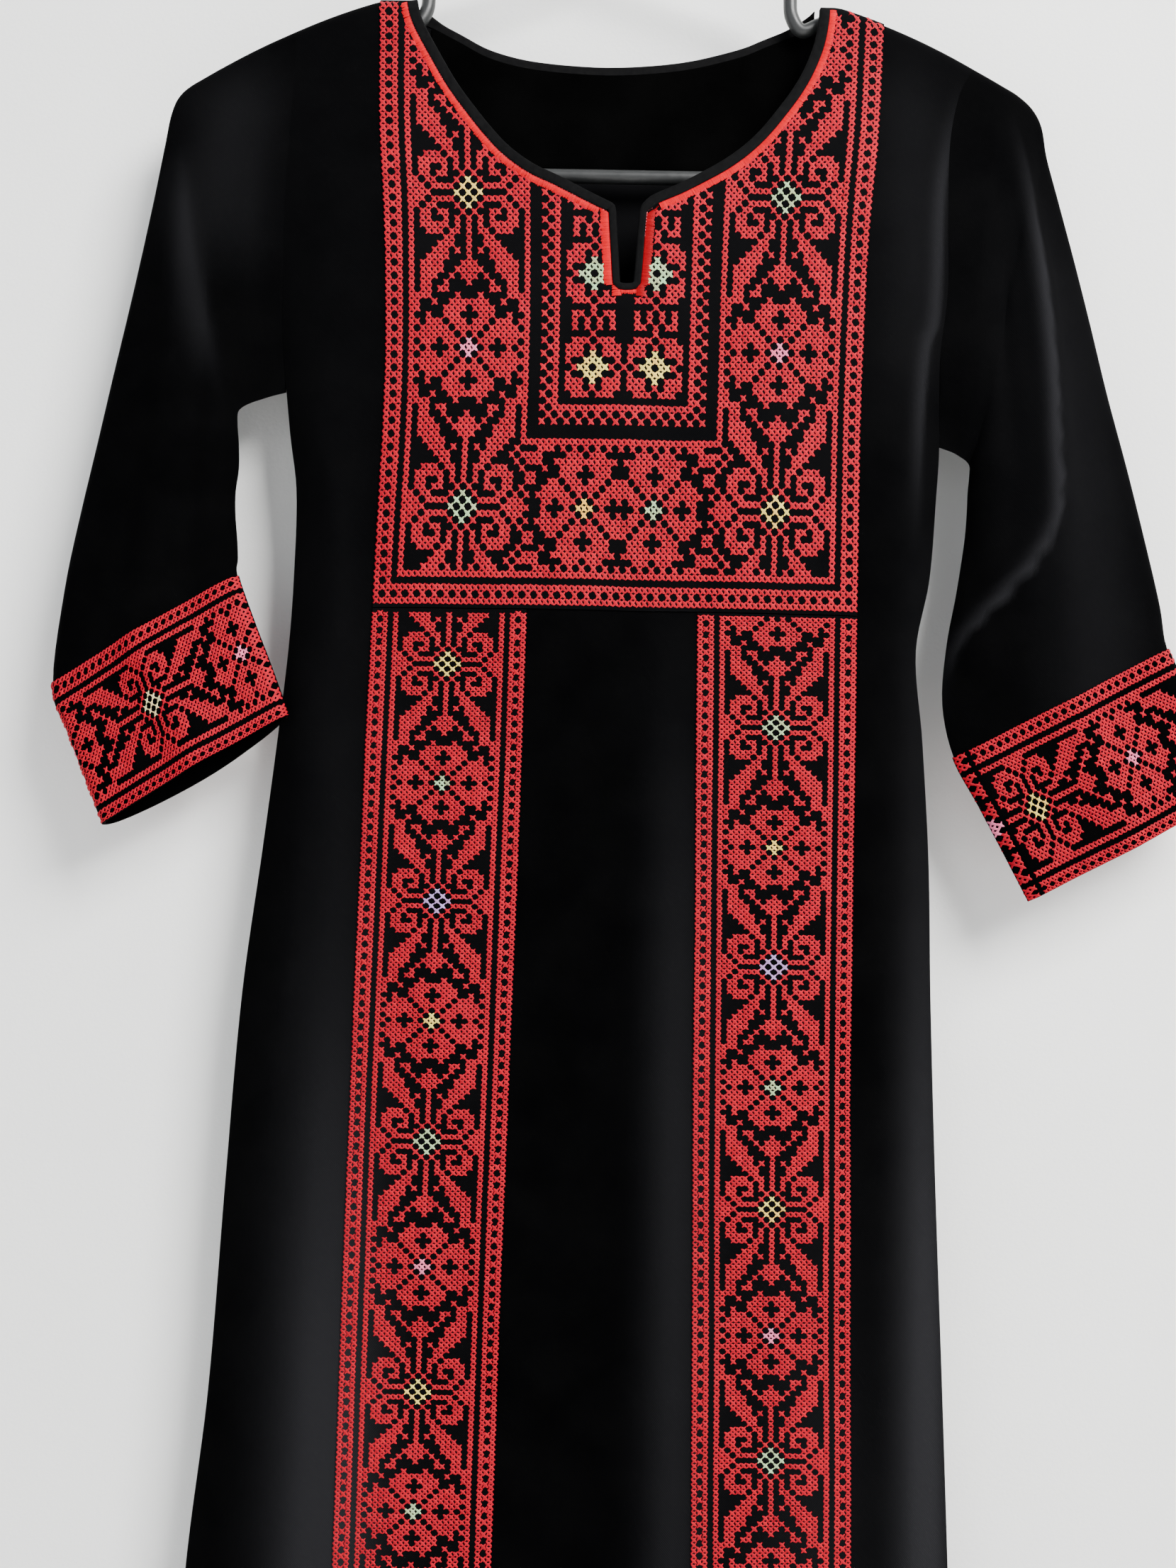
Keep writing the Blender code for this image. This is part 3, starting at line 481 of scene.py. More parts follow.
def baked(piece):
    """The piece with its modifiers applied to its mesh."""
    evaluated = piece.evaluated_get(bpy.context.evaluated_depsgraph_get())
    mesh = bpy.data.meshes.new_from_object(evaluated)
    mesh.name = piece.name
    piece.modifiers.clear()
    piece.data = mesh
    return piece


def prism(name, outline, y_start, y_end):
    """Upright prism of an outline, used to cut the neck's opening."""
    count = len(outline)
    points = [(x, y, z) for y in (y_start, y_end) for x, z in outline]
    faces = [tuple(range(count)), tuple(reversed(range(count, 2 * count)))]
    faces += [(index, index + count, (index + 1) % count + count, (index + 1) % count)
              for index in range(count)]
    mesh = bpy.data.meshes.new(name)
    mesh.from_pydata(points, [], faces)
    mesh.update()
    work = bmesh.new()
    work.from_mesh(mesh)
    bmesh.ops.recalc_face_normals(work, faces=work.faces)
    work.to_mesh(mesh)
    work.free()
    return link(name, mesh)


def cut_neck(piece, cutter):
    opening = piece.modifiers.new("Neck opening", "BOOLEAN")
    opening.operation = "DIFFERENCE"
    opening.object = cutter
    opening.solver = "EXACT"
    baked(piece)
    piece.data.shade_smooth()
    piece.data.set_sharp_from_angle(angle=math.radians(50.0))


def levels_down(first, last, spacing):
    """Levels and slants of fine rows, close together over the shoulder."""
    knots = [row for row in LEVELS if last < row[0] < first]
    slant_first = np.interp(-first, -LEVELS[:, 0], LEVELS[:, 1])
    slant_last = np.interp(-last, -LEVELS[:, 0], LEVELS[:, 1])
    knots = [(first, slant_first)] + [tuple(row) for row in knots] + [(last, slant_last)]
    fine = []
    for (z_start, s_start), (z_end, s_end) in zip(knots, knots[1:]):
        steps = max(1, round((z_start - z_end) / spacing))
        if z_start > -0.1100:
            steps = max(steps, 2)
        for step in range(steps):
            share = step / steps
            fine.append((z_start + (z_end - z_start) * share, s_start + (s_end - s_start) * share))
    fine.append(knots[-1])
    return np.array(fine)


def body_places(levels, shares, first_edge, last_edge):
    """X and Z of a grid between two edges, with rows that slant at the shoulder."""
    level, slant = levels[:, :1], levels[:, 1:]
    z = level + 0.0 * shares[None, :]
    for _ in range(6):
        x = first_edge(z) + (last_edge(z) - first_edge(z)) * shares[None, :]
        z = level + slant * (seam_z(x) - SEAM_LEVEL)
    return x, z


def edge_of(sections, column):
    return lambda z: section_value(sections, z, column)


def side_shares(count):
    """Shares across the body, closer together near its side seams."""
    turn = np.linspace(-1.0, 1.0, count)
    return 0.5 + 0.5 * (0.45 * turn + 0.55 * np.sin(turn * math.pi / 2))


# Materials

def nodes_of(name):
    material = bpy.data.materials.new(name)
    material.use_nodes = True
    tree = material.node_tree
    return material, tree, tree.nodes["Principled BSDF"]


def add_node(tree, kind, **values):
    node = tree.nodes.new(kind)
    for key, value in values.items():
        if key in node.inputs:
            node.inputs[key].default_value = value
        else:
            setattr(node, key, value)
    return node


def millimetres(tree, rotation=(0.0, 0.0, 0.0), scale=(1000.0, 1000.0, 1000.0)):
    place = tree.nodes.new("ShaderNodeTexCoord")
    mapping = add_node(tree, "ShaderNodeMapping", Rotation=rotation, Scale=scale)
    tree.links.new(place.outputs["Object"], mapping.inputs["Vector"])
    return mapping.outputs["Vector"]


def noise(tree, vector, scale, detail=2.0):
    node = add_node(tree, "ShaderNodeTexNoise", Scale=scale, Detail=detail)
    tree.links.new(vector, node.inputs["Vector"])
    return node.outputs["Fac"]


def ramp(tree, value, *stops):
    node = tree.nodes.new("ShaderNodeValToRGB")
    while len(node.color_ramp.elements) < len(stops):
        node.color_ramp.elements.new(0.5)
    for element, (place, colour) in zip(node.color_ramp.elements, stops):
        element.position = place
        element.color = (*colour, 1.0)
    tree.links.new(value, node.inputs["Fac"])
    return node.outputs["Color"]


def bump(tree, height, distance, strength, under=None):
    node = add_node(tree, "ShaderNodeBump", Strength=strength, Distance=distance)
    tree.links.new(height, node.inputs["Height"])
    if under is not None:
        tree.links.new(under, node.inputs["Normal"])
    return node.outputs["Normal"]


# Colour that the crepe is lightened towards where a painted highlight lies
PAINTED_HIGHLIGHT_CREPE = (0.0125, 0.0125, 0.0140)


def crepe_material(name, dark, light):
    """Soft black crepe: twill lines, crimped yarn, slow patches and painted highlight zones."""
    material, tree, shader = nodes_of(name)
    plain = millimetres(tree)
    leaning = millimetres(tree, rotation=(0.0, math.radians(38.0), 0.0))
    line = add_node(tree, "ShaderNodeTexWave", Scale=0.449, Distortion=0.9, Detail=1.0)
    line.inputs["Detail Scale"].default_value = 2.2
    tree.links.new(leaning, line.inputs["Vector"])
    grain = noise(tree, plain, 3.1, 3.0)
    patches = noise(tree, plain, 0.035, 4.0)
    # Painted highlight: a stored point value mixes the base colour towards the highlight colour,
    # stronger on the twill's ribs
    painted_highlight = add_node(tree, "ShaderNodeAttribute", attribute_name="painted_highlight")
    ribs = ramp(tree, line.outputs["Fac"], (0.2, (0.72, 0.72, 0.72)), (0.8, (1.0, 1.0, 1.0)))
    shown = add_node(tree, "ShaderNodeMath", operation="MULTIPLY")
    tree.links.new(painted_highlight.outputs["Fac"], shown.inputs[0])
    tree.links.new(ribs, shown.inputs[1])
    lit = add_node(tree, "ShaderNodeMix", data_type="RGBA")
    tree.links.new(shown.outputs[0], lit.inputs[0])
    tree.links.new(ramp(tree, patches, (0.3, dark), (0.75, light)), lit.inputs[6])
    lit.inputs[7].default_value = (*PAINTED_HIGHLIGHT_CREPE, 1.0)
    tree.links.new(lit.outputs[2], shader.inputs["Base Color"])
    first = bump(tree, line.outputs["Fac"], 0.00010, 0.55)
    second = bump(tree, grain, 0.00012, 0.6, first)
    tree.links.new(second, shader.inputs["Normal"])
    shader.inputs["Roughness"].default_value = 0.80
    shader.inputs["Specular IOR Level"].default_value = 0.008
    shader.inputs["Sheen Weight"].default_value = 0.003
    shader.inputs["Sheen Roughness"].default_value = 0.45
    shader.inputs["Sheen Tint"].default_value = (0.90, 0.92, 1.0, 1.0)
    return material


def thread_material(name):
    """Shiny stranded cotton that takes each stitch's own colour, with painted highlights on its
    strand edges.
    """
    material, tree, shader = nodes_of(name)
    colour = add_node(tree, "ShaderNodeAttribute", attribute_name="thread")
    plain = millimetres(tree)
    strand = noise(tree, plain, 5.5, 2.0)
    shade = ramp(tree, strand, (0.28, (0.62, 0.62, 0.62)), (0.72, (1.0, 1.0, 1.0)))
    mix = add_node(tree, "ShaderNodeMix", data_type="RGBA", blend_type="MULTIPLY")
    mix.inputs[0].default_value = 1.0
    tree.links.new(colour.outputs["Color"], mix.inputs[6])
    tree.links.new(shade, mix.inputs[7])
    tree.links.new(mix.outputs[2], shader.inputs["Base Color"])
    tree.links.new(bump(tree, strand, 0.00012, 0.7), shader.inputs["Normal"])
    shader.inputs["Roughness"].default_value = 0.38
    shader.inputs["Specular IOR Level"].default_value = 0.05
    return material


def binding_material():
    """Smooth black bias binding with a fine slanting weave."""
    material, tree, shader = nodes_of("black_binding")
    leaning = millimetres(tree, rotation=(0.0, math.radians(-45.0), 0.0))
    line = add_node(tree, "ShaderNodeTexWave", Scale=0.9, Distortion=0.5, Detail=1.0)
    tree.links.new(leaning, line.inputs["Vector"])
    patches = noise(tree, millimetres(tree), 0.4, 2.0)
    colour = ramp(tree, patches, (0.3, (0.0024, 0.0024, 0.0026)), (0.8, (0.0046, 0.0046, 0.0048)))
    tree.links.new(colour, shader.inputs["Base Color"])
    tree.links.new(bump(tree, line.outputs["Fac"], 0.00006, 0.5), shader.inputs["Normal"])
    shader.inputs["Roughness"].default_value = 0.75
    shader.inputs["Specular IOR Level"].default_value = 0.03
    shader.inputs["Sheen Weight"].default_value = 0.006
    return material


def hanger_material():
    """Satin moulded plastic with a faint orange-peel and rubbed patches."""
    material, tree, shader = nodes_of("hanger_grey")
    plain = millimetres(tree)
    patches = noise(tree, plain, 0.06, 3.0)
    colour = ramp(tree, patches, (0.3, (0.013, 0.014, 0.014)), (0.75, (0.020, 0.021, 0.021)))
    tree.links.new(colour, shader.inputs["Base Color"])
    rubbed = noise(tree, plain, 0.25, 3.0)
    rough = ramp(tree, rubbed, (0.3, (0.34, 0.34, 0.34)), (0.7, (0.48, 0.48, 0.48)))
    tree.links.new(rough, shader.inputs["Roughness"])
    tree.links.new(bump(tree, noise(tree, plain, 1.6, 2.0), 0.00005, 0.4),
                   shader.inputs["Normal"])
    return material


crepe = crepe_material("black_crepe", (0.0004, 0.0004, 0.0005), (0.0012, 0.0012, 0.0013))
facing_cloth = crepe_material("black_facing", (0.0003, 0.0003, 0.0003), (0.0010, 0.0010, 0.0010))
thread = thread_material("red_cross_stitch")
binding_cloth = binding_material()
plastic = hanger_material()


# Body panels

BODY_INNER = 0.0007
BODY_COLUMNS = 96
ROW_SPACING = 0.0058

neck_path = rounded_path(FRONT_NECK[1:-1], 4)
neck_outline = np.vstack([FRONT_NECK[:1], neck_path, FRONT_NECK[-1:]])
back_neck_path = rounded_path(BACK_NECK[1:-1], 5)
back_neck_outline = np.vstack([BACK_NECK[:1], back_neck_path, BACK_NECK[-1:]])
front_cutter = prism("front_neck_cutter", neck_outline.tolist(), -0.08, 0.02)
back_cutter = prism("back_neck_cutter", back_neck_outline.tolist(), -0.02, 0.08)


HEM_LIFT = 0.0005
HEM_DEPTH = 0.020
HEM_STEP = 0.0025


def hem_rise(z):
    """The turned-up hem stands a little proud along the cloth's foot."""
    return HEM_LIFT * smooth((HEM_Z + HEM_DEPTH - z) / HEM_STEP)


def set_painted_highlight(piece, painted_highlights, share):
    """Store the painted highlight's strength at each point of a piece."""
    places = np.empty(len(piece.data.vertices) * 3)
    piece.data.vertices.foreach_get("co", places)
    x, y, z = places[0::3], places[1::3], places[2::3]
    value = np.clip(crease_depth(painted_highlights, x, z) + share(y, z), 0.0, 1.3)
    layer = piece.data.attributes.new("painted_highlight", "FLOAT", "POINT")
    layer.data.foreach_set("value", value)


# Painted highlight that grows towards the top of the front
def front_painted_highlight(y, z):
    return 0.07 * smooth((z + 0.46) / 0.25)


# Painted highlight laid evenly over the whole back, so that its form shows
def back_painted_highlight(y, z):
    return np.full(z.shape, 0.22)


# Painted highlight on a sleeve: half the front's, and stronger over its back half
def sleeve_painted_highlight(y, z):
    return 0.5 * front_painted_highlight(y, z) + 0.22 * smooth((y + 0.002) / 0.008)


body_x, body_z = body_places(levels_down(SEAM_LEVEL, HEM_Z, ROW_SPACING),
                             side_shares(BODY_COLUMNS), edge_of(BODY_SECTIONS, LEFT),
                             edge_of(BODY_SECTIONS, RIGHT))


def add_body(name, at, cutter, painted_highlights, share):
    outer = at(body_x, body_z, CLOTH + hem_rise(body_z))
    inner = at(body_x, body_z, np.full(body_x.shape, BODY_INNER))
    piece = link(name, shell(name, outer, inner), crepe)
    cut_neck(piece, cutter)
    # Painted highlight stored on the panel
    set_painted_highlight(piece, painted_highlights, share)
    return piece


front_body = add_body("front_cloth", front_at, front_cutter, FRONT_PAINTED_HIGHLIGHTS, front_painted_highlight)
back_body = add_body("back_cloth", back_at, back_cutter, BACK_PAINTED_HIGHLIGHTS, back_painted_highlight)

GROUND_FOOT = CLOTH + 0.00020
GROUND_TOP = CLOTH + 0.00075


def add_ground(name, first, last, head_z, foot_z, columns, cutter=None):
    """Thin black ground cloth under the cross-stitch."""
    levels = levels_down(head_z, foot_z, ROW_SPACING)
    x, z = body_places(levels, np.linspace(0.0, 1.0, columns),
                       edge_of(EMBROIDERY_SECTIONS, first), edge_of(EMBROIDERY_SECTIONS, last))
    outer = front_at(x, z, np.full(x.shape, GROUND_TOP))
    inner = front_at(x, z, np.full(x.shape, GROUND_FOOT))
    piece = link(name, shell(name, outer, inner), crepe)
    if cutter is not None:
        cut_neck(piece, cutter)
    # Painted highlight on the ground cloth: the front's, raised a little all over
    set_painted_highlight(piece, FRONT_PAINTED_HIGHLIGHTS, lambda y, z: 0.10 + front_painted_highlight(y, z))
    return piece


chest_ground = add_ground("chest_panel_ground", 1, 4, SEAM_LEVEL, PANEL_FOOT_Z, 84, front_cutter)
band_grounds = {
    "left": add_ground("skirt_band_left_ground", 1, 2, BAND_HEAD_Z, HEM_Z, 24),
    "right": add_ground("skirt_band_right_ground", 3, 4, BAND_HEAD_Z, HEM_Z, 24),
}


# Cross-stitches

RED = (0.420, 0.0000, 0.0090)
# Pink added to the edges of each strand: painted highlight
STITCH_EDGE_HIGHLIGHT = (0.090, 0.010, 0.024)
ACCENTS = {
    "yellow": (0.800, 0.610, 0.120),
    "cream": (0.780, 0.680, 0.330),
    "orange": (0.840, 0.420, 0.060),
    "green": (0.380, 0.560, 0.290),
    "pink": (0.800, 0.170, 0.300),
    "lilac": (0.420, 0.270, 0.560),
}
QUARTER = (
    "o.o....####", ".o.####.###", "o.#...##.##", ".#..##.##.#", "#.#.#..##.#",
    "#.#.#####.#", "#.##.###..#", "#..##.....#", "#..###....#", "#.#.###...#",
    "#...####..#", "##...####.#", "###..####.#", "##.#..###.#", "#...#..##.#",
    "....##.##.#", "..#....####", "####..#..##", ".####....##", "..###..#..#",
    ".###.###.##", "###.#####.#", ".#.########", "x.###.###.#", "xx.#...#.##",
)
HALF_REPEAT = 24
FIELD = (
    "####..#...#.xxx.#...", "###...##.###.x.###.#", ".#.#.######.#.#.####",
    "#.#...####.#####.###", "#..##..##.###.###.##", "#..##....###...###..",
    "..#...#..####.####..", ".#.###..###########.", "#.####....###.###...",
    ".#...###.#.#.#.#.#.#", "..##################",
)
INNER_STAR = (".oo#.", "oo..#", "o.###", "#.###", ".###.")
LEFT_COMB = ("#....", "#.##.", ".#.#.", ".#.#.", "#....")
RIGHT_COMB = ("#....", ".#.#.", ".#.#.", "#.##.", "#....")


def quarter_mark(across, along):
    """Mark of the side motif, which mirrors about its flowers and its stars."""
    turned = along % (2 * HALF_REPEAT)
    return QUARTER[min(turned, 2 * HALF_REPEAT - turned)][across]


def thread_colour(mark, along, accents):
    """Colour of a stitch: red, or the accent of the nearest flower or star."""
    if mark == "#":
        return RED
    return ACCENTS[accents[math.floor(along / HALF_REPEAT + 0.5) % len(accents)]]


def strand_template():
    """One cross-stitch in cell units: upper strand, then the lower one's halves."""
    points, faces = [], []

    def strand(ends, heights, widths, rise):
        start = len(points)
        (x_a, z_a), (x_b, z_b) = ends
        length = math.hypot(x_b - x_a, z_b - z_a)
        side = (-(z_b - z_a) / length, (x_b - x_a) / length)
        for step, (height, width) in enumerate(zip(heights, widths)):
            share = step / (len(heights) - 1)
            x, z = x_a + (x_b - x_a) * share, z_a + (z_b - z_a) * share
            for offset, lift in ((-1.0, 0.12), (0.0, 1.0), (1.0, 0.12)):
                points.append((x + side[0] * width * offset, z + side[1] * width * offset,
                               rise + height * lift))
        for step in range(len(heights) - 1):
            for lane in range(2):
                corner = start + step * 3 + lane
                faces.append((corner, corner + 1, corner + 4, corner + 3))

    strand(((-1.0, 1.0), (1.0, -1.0)), (0.10, 0.80, 1.00, 0.80, 0.10),
           (0.28, 0.40, 0.44, 0.40, 0.28), 0.0)
    strand(((-1.0, -1.0), (-0.10, -0.10)), (0.10, 0.72), (0.28, 0.42), 0.0)
    strand(((1.0, 1.0), (0.10, 0.10)), (0.10, 0.72), (0.28, 0.42), 0.0)
    return np.array(points), np.array(faces)


STRAND_POINTS, STRAND_FACES = strand_template()
# Mask of each strand's edge points, where the painted highlight goes
STRAND_HIGHLIGHT_EDGES = np.array([0.0 if index % 3 == 1 else 1.0 for index in range(len(STRAND_POINTS))])
STITCH_FOOT = GROUND_TOP - 0.00005
STITCH_HEIGHT = 0.00055
SHIFT_SPREAD, SIZE_SPREAD, HEIGHT_SPREAD = 0.035, 0.030, 0.10
SHADE_SPREAD, WARM_SPREAD = 0.085, 0.10


def store_thread(mesh, tint):
    """Store each point's thread colour, with any painted highlight, which the thread material
    reads.
    """
    colours = np.concatenate([np.clip(tint, 0.0, 1.0), np.ones((len(tint), 1))], axis=1)
    layer = mesh.attributes.new("thread", "FLOAT_COLOR", "POINT")
    layer.data.foreach_set("color", colours.ravel())


def add_stitches(name, cells, at):
    """Cross-stitches at cells (u, v, half width, half height, colour) of a surface."""
    centres = np.array([cell[:4] for cell in cells])
    colours = np.array([cell[4] for cell in cells])
    count = len(cells)
    jitter = rng.normal(0.0, SHIFT_SPREAD, (count, 2))
    size = 1.0 + rng.normal(0.0, SIZE_SPREAD, count)
    u = (centres[:, 0, None] + centres[:, 2, None]
         * (STRAND_POINTS[None, :, 0] * size[:, None] + jitter[:, :1]))
    v = (centres[:, 1, None] + centres[:, 3, None]
         * (STRAND_POINTS[None, :, 1] * size[:, None] + jitter[:, 1:]))
    height = STITCH_HEIGHT * (1.0 + rng.normal(0.0, HEIGHT_SPREAD, count))[:, None]
    lift = STITCH_FOOT + height * STRAND_POINTS[None, :, 2]
    points = at(u, v, lift).reshape(-1, 3)
    per = len(STRAND_POINTS)
    faces = (STRAND_FACES[None] + (np.arange(count) * per)[:, None, None]).reshape(-1, 4)
    mesh = mesh_from(name, points, faces)
    shade = 1.0 + rng.normal(0.0, SHADE_SPREAD, count)
    warm = rng.normal(0.0, WARM_SPREAD, (count, 1)) * np.array([[0.0, 1.0, 1.0]])
    tint = (colours * shade[:, None] * (1.0 + warm))[:, None, :]
    # Painted highlight: each strand's edges lightened towards pink
    tint = tint + STRAND_HIGHLIGHT_EDGES[None, :, None] * np.array(STITCH_EDGE_HIGHLIGHT)
    store_thread(mesh, tint.reshape(-1, 3))
    return link(name, mesh, thread)


# Chest panel's chart

BORDER = 3
CHEST_COLUMNS = 83
SIDE_AXIS = 14
ROW_PITCH = 0.00328
ROW_ZERO_Z = -0.3945
INNER_PITCH = 0.00337
INNER_ZERO_Z = -0.3120
CHEST_ACCENTS_LEFT = ("green", "pink", "yellow", "pink")
CHEST_ACCENTS_RIGHT = ("yellow", "pink", "green", "pink")
BINDING_WIDTH = 0.0044
SATIN_WIDTH = 0.0036
SEAM_MARGIN, FOOT_MARGIN, NECK_MARGIN = 0.0012, 0.0008, 0.0022
NECK_TEST_Z = -0.262


def signed_distance(x, z, outline):
    """Distance from the outline of the neck, below zero inside the opening."""
    nearest = 1e9
    inside = False
    previous = outline[-1]
    for point in outline:
        (x_a, z_a), (x_b, z_b) = previous, point
        length = (x_b - x_a) ** 2 + (z_b - z_a) ** 2
        run = 0.0
        if length > 0.0:
            run = min(max(((x - x_a) * (x_b - x_a) + (z - z_a) * (z_b - z_a)) / length, 0.0), 1.0)
        nearest = min(nearest, math.hypot(x - x_a - run * (x_b - x_a), z - z_a - run * (z_b - z_a)))
        if (z_a > z) != (z_b > z) and x < (x_b - x_a) * (z - z_a) / (z_b - z_a) + x_a:
            inside = not inside
        previous = point
    return -nearest if inside else nearest


def inner_mark(index, k):
    """Mark of the chart inside the panel's inner rectangle."""
    fold = min(index, 26 - index)
    if k == -2:
        return "#" if index % 2 == 0 else "."
    if k == -1:
        return "#" if index % 2 == 1 else "."
    if k < -2:
        return "."
    if fold == 0:
        return "#" if k % 2 == 0 else "."
    if fold == 1:
        return "#" if k % 2 == 1 else "."
    if fold == 2 or k == 0:
        return "#"
    if fold == 3:
        return "."
    if index == 13:
        return "#" if k > 2 and (k - 6) % 14 == 0 else "."
    centre, comb = (8, LEFT_COMB) if index < 13 else (18, RIGHT_COMB)
    across = abs(index - centre)
    if across > 4:
        return "."
    above = (k - 6) % 14
    if k < 2:
        return "."
    if above <= 4:
        return INNER_STAR[above][across]
    if above >= 10:
        return INNER_STAR[14 - above][across]
    return comb[9 - above][across]


def chest_cells():
    """Every stitch of the chest panel, as a place, half sizes and a colour."""
    cells = []
    neck = neck_outline.tolist()
    margin = BINDING_WIDTH + NECK_MARGIN

    def put(x, z, half_x, half_z, colour):
        if z > float(seam_z(x)) - SEAM_MARGIN or z < PANEL_FOOT_Z + FOOT_MARGIN:
            return
        if z > NECK_TEST_Z and signed_distance(x, z, neck) < margin:
            return
        cells.append((x, z, half_x, half_z, colour))

    for row in range(-4, 92):
        z = ROW_ZERO_Z + ROW_PITCH * row
        left = float(section_value(EMBROIDERY_SECTIONS, z, 1))
        right = float(section_value(EMBROIDERY_SECTIONS, z, 4))
        pitch = (right - left) / CHEST_COLUMNS
        for column in range(CHEST_COLUMNS):
            fold = min(column, CHEST_COLUMNS - 1 - column)
            right_side = column > 41
            accents = CHEST_ACCENTS_RIGHT if right_side else CHEST_ACCENTS_LEFT
            colour = RED
            if row in (-4, -2):
                mark = "#"
            elif row == -3:
                mark = "#" if column % 2 == 0 or fold < 1 else "."
            elif fold < BORDER:
                mark = "." if fold == 1 and row % 2 else "#"
            elif fold == BORDER or row == -1:
                mark = "."
            elif row == 0:
                mark = "#"
            elif fold <= 21 or (row >= 20 and fold <= 24):
                along = row - 10
                mark = quarter_mark(abs(fold - SIDE_AXIS), along)
                if fold <= 4 or (fold == 24 and row >= 20):
                    mark = "#"
                if row < 20 and fold > 21:
                    mark = "."
                colour = thread_colour(mark, along, accents) if mark in "#ox" else RED
            elif row <= 20:
                mark = FIELD[abs(row - 10)][min(fold, 41) - 22]
                if mark == "x":
                    colour = ACCENTS["green" if right_side else "orange"]
            else:
                mark = "."
            if mark != ".":
                put(left + pitch * (column + 0.5), z, pitch / 2, ROW_PITCH / 2, colour)

    for k in range(-2, 62):
        z = INNER_ZERO_Z + INNER_PITCH * k
        left = float(section_value(EMBROIDERY_SECTIONS, z, 1))
        right = float(section_value(EMBROIDERY_SECTIONS, z, 4))
        pitch = (right - left) / CHEST_COLUMNS
        wide = pitch * 29 / 27
        start = left + 27 * pitch
        for index in range(27):
            mark = inner_mark(index, k)
            if mark == ".":
                continue
            colour = RED
            if mark == "o":
                lower = ((k - 6 + 7) // 14) % 2 == 0
                colour = ACCENTS["yellow" if lower else "green"]
            put(start + wide * (index + 0.5), z, wide / 2, INNER_PITCH / 2, colour)
    return cells


# Band and cuff charts

BAND_COLUMNS = 29
BAND_PITCH = 0.002395
BORDER_PITCH = 0.0028
LEFT_BAND = (-0.4385, ("yellow", "green", "lilac", "yellow", "green", "pink"),
             (0.0, 0.0, 0.0010, 0.0020, 0.0029, 0.0024, 0.0021, 0.0060))
RIGHT_BAND = (-0.4660, ("green", "yellow", "lilac", "green", "yellow", "pink"),
              (-0.0006, -0.0008, 0.0, 0.0007, 0.0016, 0.0002, 0.0006, 0.0006))


def band_cells(first, last, flower_z, accents, wander):
    """Cells of a skirt band; its motifs stand higher than even ones by the wander."""
    cells = []
    head, foot = BAND_HEAD_Z - 0.0010, HEM_Z + 0.0020

    def across(z):
        left = float(section_value(EMBROIDERY_SECTIONS, z, first))
        right = float(section_value(EMBROIDERY_SECTIONS, z, last))
        return left, (right - left) / BAND_COLUMNS

    start = math.ceil((flower_z - head) / BAND_PITCH)
    for along in range(start, start + 400):
        z = flower_z - BAND_PITCH * along
        z += float(np.interp(along / HALF_REPEAT, range(len(wander)), wander))
        if z < foot:
            break
        if z > head:
            continue
        left, pitch = across(z)
        for column in range(BAND_COLUMNS):
            out = abs(column - 14)
            if out == 13 or out == 11:
                continue
            mark = "#" if out > 11 else quarter_mark(out, along)
            if mark == ".":
                continue
            cells.append((left + pitch * (column + 0.5), z, pitch / 2, BAND_PITCH / 2,
                          thread_colour(mark, along, accents)))
    for row in range(0, 400):
        z = head - BORDER_PITCH * (row + 0.5)
        if z < foot:
            break
        if row % 2:
            continue
        left, pitch = across(z)
        for column in (1, 27):
            cells.append((left + pitch * (column + 0.5), z, pitch / 2, BORDER_PITCH / 2, RED))
    return cells


# Sleeves

def armhole_edges(side, armpit_z):
    """Heights, points and normals of the body's rows at one armhole."""
    z = body_z[:, 0 if side < 0 else -1]
    z = z[z > armpit_z - 0.00001]
    x = section_value(BODY_SECTIONS, z, LEFT if side < 0 else RIGHT)
    edges, normals = [], []
    for place, outward in ((front_point, -1), (back_point, 1)):
        base = place(x, z)
        edges.append(base)
        normals.append(lifted(place, x, z, np.ones(x.shape), outward) - base)
    return (z[0] - z) / (z[0] - z[-1]), edges, normals


def around_ring(front, back):
    """Front and back halves joined into one ring that starts at the outer edge."""
    return np.concatenate([front, back[1:-1][::-1]])


